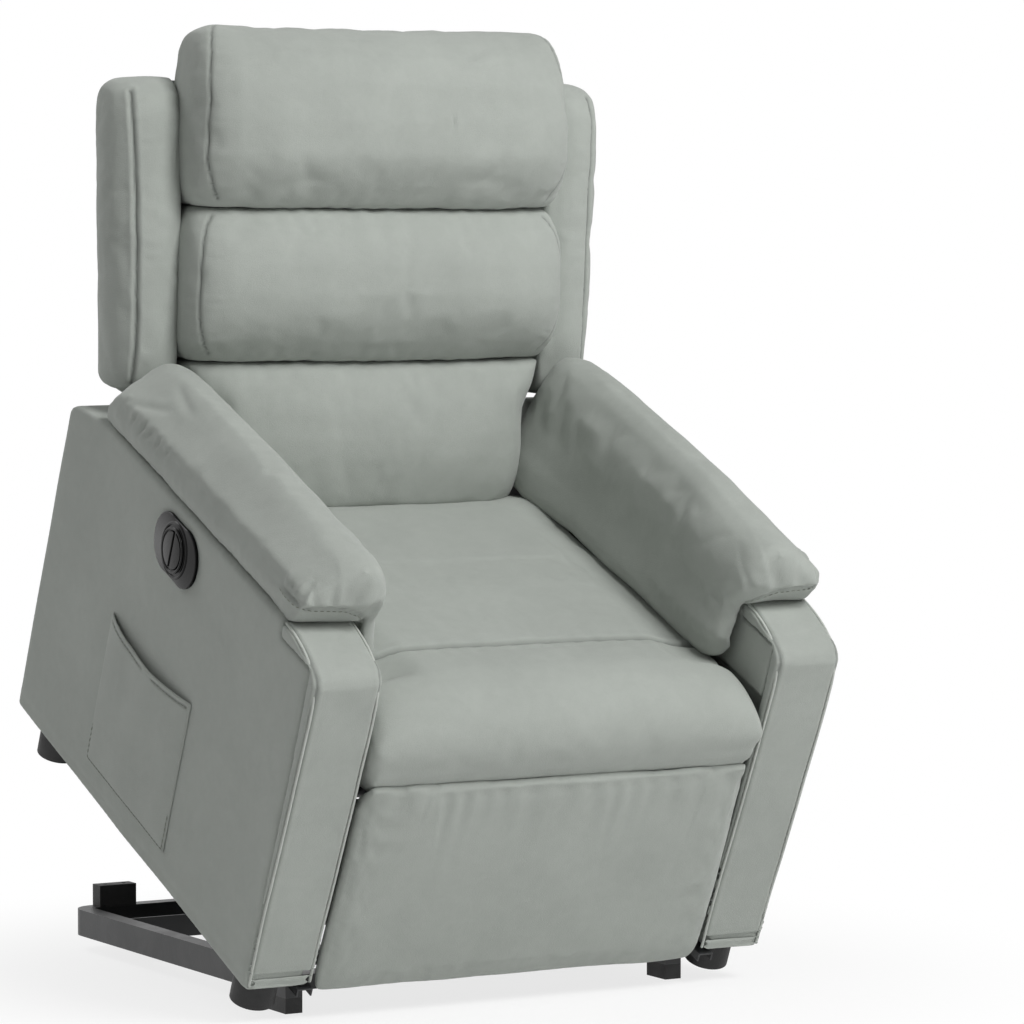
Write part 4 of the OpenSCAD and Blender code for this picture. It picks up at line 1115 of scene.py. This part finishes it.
# %% Side panels
def side_panel(node, side):
    obj = even_skin(node, "covered_" + node, 0.0052, 0.0)
    # The top edge drops a little towards its rear corner
    pull(obj, seat_place, lambda x, y, z: above(y, 0.655, 0.12) ** 1.3 * above(z, 0.43, 0.09),
         (0, 0, -0.020))
    lumps(obj, 0.0009, 0.16, 3.0 + side)
    hem = [(side * 0.387, y, 0.060) for y in (0.03, 0.3, 0.55, 0.77)]
    press(obj, seat_place, hem, 0.006, 0.0012)
    return dress(obj, cloth, "seat", [node])


right_panel = side_panel("right_side_panel", -1)
side_panel("left_side_panel", 1)

# %% [markdown]
# A padded facing closes each arm at the front. Its two long edges carry piping, and its top
# bends back under the arm pad as a lip. Each cord is a tube along the seam that was just pressed
# in, so it always lies in its groove.

# %% Arm fronts
front_line = [(0.0150, 0.046), (0.0100, 0.161), (0.0030, 0.272), (-0.0020, 0.399),
              (-0.0050, 0.491), (0.0, 0.500), (0.009, 0.507), (0.038, 0.519), (0.070, 0.527),
              (0.100, 0.5295)]
bend_height = 0.505


def arm_front(node, side):
    obj = even_skin(node, "padded_" + node, 0.0042, 0.0006)
    refine(obj)
    lumps(obj, 0.0009, 0.07, 17.0 + side)
    for x in (0.2935, 0.3825):
        line = [(side * x, y + 0.0025, z - (0.002 if z > bend_height else 0))
                for y, z in front_line]
        # The seam under each cord is darkened: painted shade beside the piping.
        path = smooth_path(press(obj, seat_place, line, 0.0028, 0.0018, painted_shade=0.6))
        stand = smooth_path(normals_near(obj, path)) * 0.0006
        cord = tube_along(path + stand, 0.0019, f"piping_{node}_{int(x * 1000)}")
        dress(cord, piping_cloth, "seat")
    dress(obj, cloth, "seat", [node])


arm_front("right_arm_front", -1)
arm_front("left_arm_front", 1)

# %% [markdown]
# The side pocket is one piece of doubled cloth, sewn to the panel along three edges. Its free
# top edge is a little long, so it sags and stands off the panel. A real pocket is a cloth of its
# own, and so is this one: a grid that gets its place from a few sizes, and then a thin wall.

# %% Helper: give a sheet of cloth its modifiers, and turn its faces outward
def close_sheet(obj):
    finish_modifiers(obj)
    edit(obj, bpy.ops.mesh.normals_make_consistent, inside=False)


print("sheet helper ready")

# %% Side pocket
pocket_front, pocket_width = 0.290, 0.257
pocket_bottom, pocket_top, pocket_sag = 0.090, 0.312, 0.012
pocket_height = pocket_top - pocket_bottom
hem_height = pocket_top - 0.008
panel_face = -0.3868
sewn_inset = 0.0035


def pocket_sheet():
    bpy.ops.mesh.primitive_grid_add(x_subdivisions=64, y_subdivisions=56, size=1)
    obj = bpy.context.object
    obj.name = "side_pocket_cloth"
    flat = points_of(obj)
    t, u = flat[:, 0] + 0.5, flat[:, 1] + 0.5
    depth = pocket_front + pocket_width * t
    height = pocket_bottom + (pocket_height - pocket_sag * np.sin(math.pi * t)) * u
    rim = np.minimum(np.minimum(t, 1 - t) * pocket_width, u * pocket_height)
    stand = 0.0012 + 0.0086 * np.clip(rim / 0.06, 0, 1) ** 0.6 * (0.35 + 0.65 * u)
    wave = 0.0011 * np.sin(13 * t + 2 * u) * np.clip(rim / 0.05, 0, 1)
    set_points(obj, go(seat_place, np.column_stack([panel_face - stand - wave, depth, height])))
    modify(obj, "SOLIDIFY", thickness=0.0024, offset=0)
    modify(obj, "SUBSURF", levels=1, render_levels=1)
    close_sheet(obj)
    return obj


pocket = pocket_sheet()
top_hem = [(panel_face - 0.0102, pocket_front + pocket_width * t,
            hem_height - pocket_sag * math.sin(math.pi * t)) for t in np.linspace(0.02, 0.98, 9)]
# The hem's groove is darkened: painted shade under the fold.
press(pocket, seat_place, top_hem, 0.0022, 0.0008, painted_shade=0.5)
hem_path = laid_line(pocket, seat_place, top_hem, 0.005)
dress(pocket, cloth, "seat", ["side_pocket"])
stitches = sew(hem_path + np.array([-0.0011, 0, 0]), "pocket_hem_stitches", "seat")

# %% The pocket's three sewn sides
near_edge = pocket_front + sewn_inset
far_edge = pocket_front + pocket_width - sewn_inset
low_edge = pocket_bottom + sewn_inset
border = [(-0.388, near_edge, hem_height), (-0.389, near_edge, low_edge),
          (-0.389, far_edge, low_edge), (-0.388, far_edge, hem_height)]
# The sewn sides are darkened: painted shade where the pocket meets the panel.
press(pocket, seat_place, border, 0.0015, 0.0004, painted_shade=0.6)
border_path = laid_line(pocket, seat_place, border, 0.005)
sew(border_path + np.array([-0.0005, 0, 0]), "pocket_side_stitches", "seat")

# %% [markdown]
# The hand control is a polished oval with two half round buttons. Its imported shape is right,
# so a copy only gets small rounded edges, which catch the light. Two raised rings lead the
# finger to the buttons.

# %% Hand control
def rounded_copy(node, name, radius, material, body):
    obj = shell_of(node, name)
    modify(obj, "BEVEL", width=radius, segments=3, limit_method="ANGLE",
           angle_limit=math.radians(40), use_clamp_overlap=True)
    finish_modifiers(obj)
    dress(obj, material, body, [node])


rounded_copy("control_bezel", "control_surround", 0.0012, gloss_plastic, "seat")
rounded_copy("button_up", "lift_button_up", 0.0008, button_plastic, "button_up")
rounded_copy("button_down", "lift_button_down", 0.0008, button_plastic, "button_down")

# %% The control's two rings
control_place = (0.406, 0.475)


def control_ring(radius, thickness, face, name):
    bpy.ops.mesh.primitive_torus_add(major_radius=radius, minor_radius=thickness,
                                     major_segments=72, minor_segments=16)
    obj = bpy.context.object
    obj.name = name
    flat = points_of(obj)
    turned = np.column_stack([flat[:, 2] - face, flat[:, 0] + control_place[0],
                              flat[:, 1] + control_place[1]])
    set_points(obj, go(seat_place, turned))
    dress(obj, gloss_plastic, "seat")


control_ring(0.0290, 0.0019, 0.3948, "control_inner_ring")
control_ring(0.0360, 0.0022, 0.3918, "control_outer_ring")

# %% [markdown]
# The rear of the back has a flat cover with a welted border, and below it a loose skirt hangs
# over the mechanism. Both are single cloths, so each is a grid in its packed place, with a thin
# wall and a slight ripple that fades towards its border.

# %% Rear cover and skirt
def rear_sheet(node, name, place, thickness, wave, body):
    local = come(place, points_of(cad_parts[node]))
    low, high = local.min(0), local.max(0)
    bpy.ops.mesh.primitive_grid_add(x_subdivisions=72, y_subdivisions=72, size=1)
    obj = bpy.context.object
    obj.name = name
    flat = points_of(obj)
    x = low[0] + (flat[:, 0] + 0.5) * (high[0] - low[0])
    z = low[2] + (flat[:, 1] + 0.5) * (high[2] - low[2])
    rim = np.minimum(0.5 - np.abs(flat[:, 0]), 0.5 - np.abs(flat[:, 1])) * 2
    ripple = wave * np.sin(x * 23 + 1.5 * np.sin(z * 6)) * np.clip(rim * 4, 0, 1)
    middle = (low[1] + high[1]) / 2
    set_points(obj, go(place, np.column_stack([x, middle + ripple, z])))
    modify(obj, "SOLIDIFY", thickness=thickness, offset=0)
    close_sheet(obj)
    dress(obj, cloth, body, [node])
    return obj, low, high


rear_cover, low, high = rear_sheet("back_cover", "rear_cover", back_place, 0.0042, 0.0008,
                                   "backrest")
welt_inset = 0.012
left, right = low[0] + welt_inset, high[0] - welt_inset
bottom, top = low[2] + welt_inset, high[2] - welt_inset
border = [(x, high[1], z) for x, z in ((left, bottom), (left, top), (right, top), (right, bottom),
                                       (left, bottom))]
welt = laid_line(rear_cover, back_place, border, 0.012)
welt_cord = dress(tube_along(welt, 0.0018, "rear_cover_welt"), piping_cloth, "backrest")
skirt, low, high = rear_sheet("back_skirt", "rear_skirt", seat_place, 0.0030, 0.0014, "back_skirt")
hem_line = [(x, high[1], low[2] + 0.02) for x in np.linspace(low[0] + 0.01, high[0] - 0.01, 12)]
hem_path = laid_line(skirt, seat_place, hem_line, 0.006) + np.array([0, 0.0004, 0])
hem_stitches = sew(hem_path, "skirt_hem_stitches", "back_skirt")

# %% [markdown]
# The frame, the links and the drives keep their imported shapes. Each only gets its finish. The
# coats' edge mask draws the rubbed edges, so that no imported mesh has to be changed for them.

# %% Finishes of the hard parts
finishes = {
    black_coat: ["base_frame", "base_cross_bars", "base_plates", "link_brackets", "rear_lift_links",
                 "rear_link_tube", "front_lift_links", "front_link_tube", "footrest_arms",
                 "drive_links", "panel_channels"],
    cloth: ["footrest_board"],
    inner_coat: ["seat_rails", "seat_link_brackets", "seat_tubes", "back_uprights",
                 "back_cross_bars", "back_levers", "motor_lever"],
    rubber_foot: ["base_feet", "rest_blocks", "panel_feet"],
    black_plastic: ["lift_motor", "recline_motor", "control_box", "power_inlet"],
    zinc: ["base_pins", "lift_rod", "seat_pins", "seat_springs", "recline_rod"],
    timber: ["deck_cross_rails", "deck_side_rails"],
}
for material, names in finishes.items():
    for name in names:
        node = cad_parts[name]
        node.data.materials.clear()
        node.data.materials.append(material)
left_plain = [n for n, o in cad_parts.items()
              if not o.hide_render and not any(n in names for names in finishes.values())]
print("nodes without a finish:", left_plain)

# %% [markdown]
# The floor is a wide pale sheet. Near the chair it takes a soft shadow. Further out it fades
# into plain white, so no edge shows against the background.

# %% Floor
def floor_material():
    material, tree, shader, where = new_material("pale_floor", Base_Color=(0.93, 0.93, 0.93, 1),
                                                 Roughness=0.9)
    length = tree.nodes.new("ShaderNodeVectorMath")
    length.operation = "LENGTH"
    feed(tree, length, Vector=where)
    fade = new_node(tree, "MapRange", Value=length.outputs["Value"], From_Min=0.35, From_Max=1.0,
                    To_Min=0.78)
    fade.interpolation_type = "SMOOTHSTEP"
    share = math_node(tree, "MULTIPLY", fade.outputs["Result"], seen_rays(tree))
    glow = tree.nodes.new("ShaderNodeEmission")
    mix = new_node(tree, "MixShader", Fac=share)
    wire(tree, [(shader.outputs["BSDF"], mix.inputs[1]), (glow.outputs["Emission"], mix.inputs[2]),
                (mix.outputs["Shader"], tree.nodes["Material Output"].inputs["Surface"])])
    return material


bpy.ops.mesh.primitive_plane_add(size=30, location=(0, 0, -0.0005))
floor = bpy.context.object
floor.name = "floor"
edit(floor, bpy.ops.mesh.subdivide, number_cuts=3)
floor.data.materials.append(floor_material())

# %% [markdown]
# The dressed chair has to fill the same box as the imported one, or it would not fit where the
# model says.

# %% Finish: back to the first frame
scene.frame_set(1)
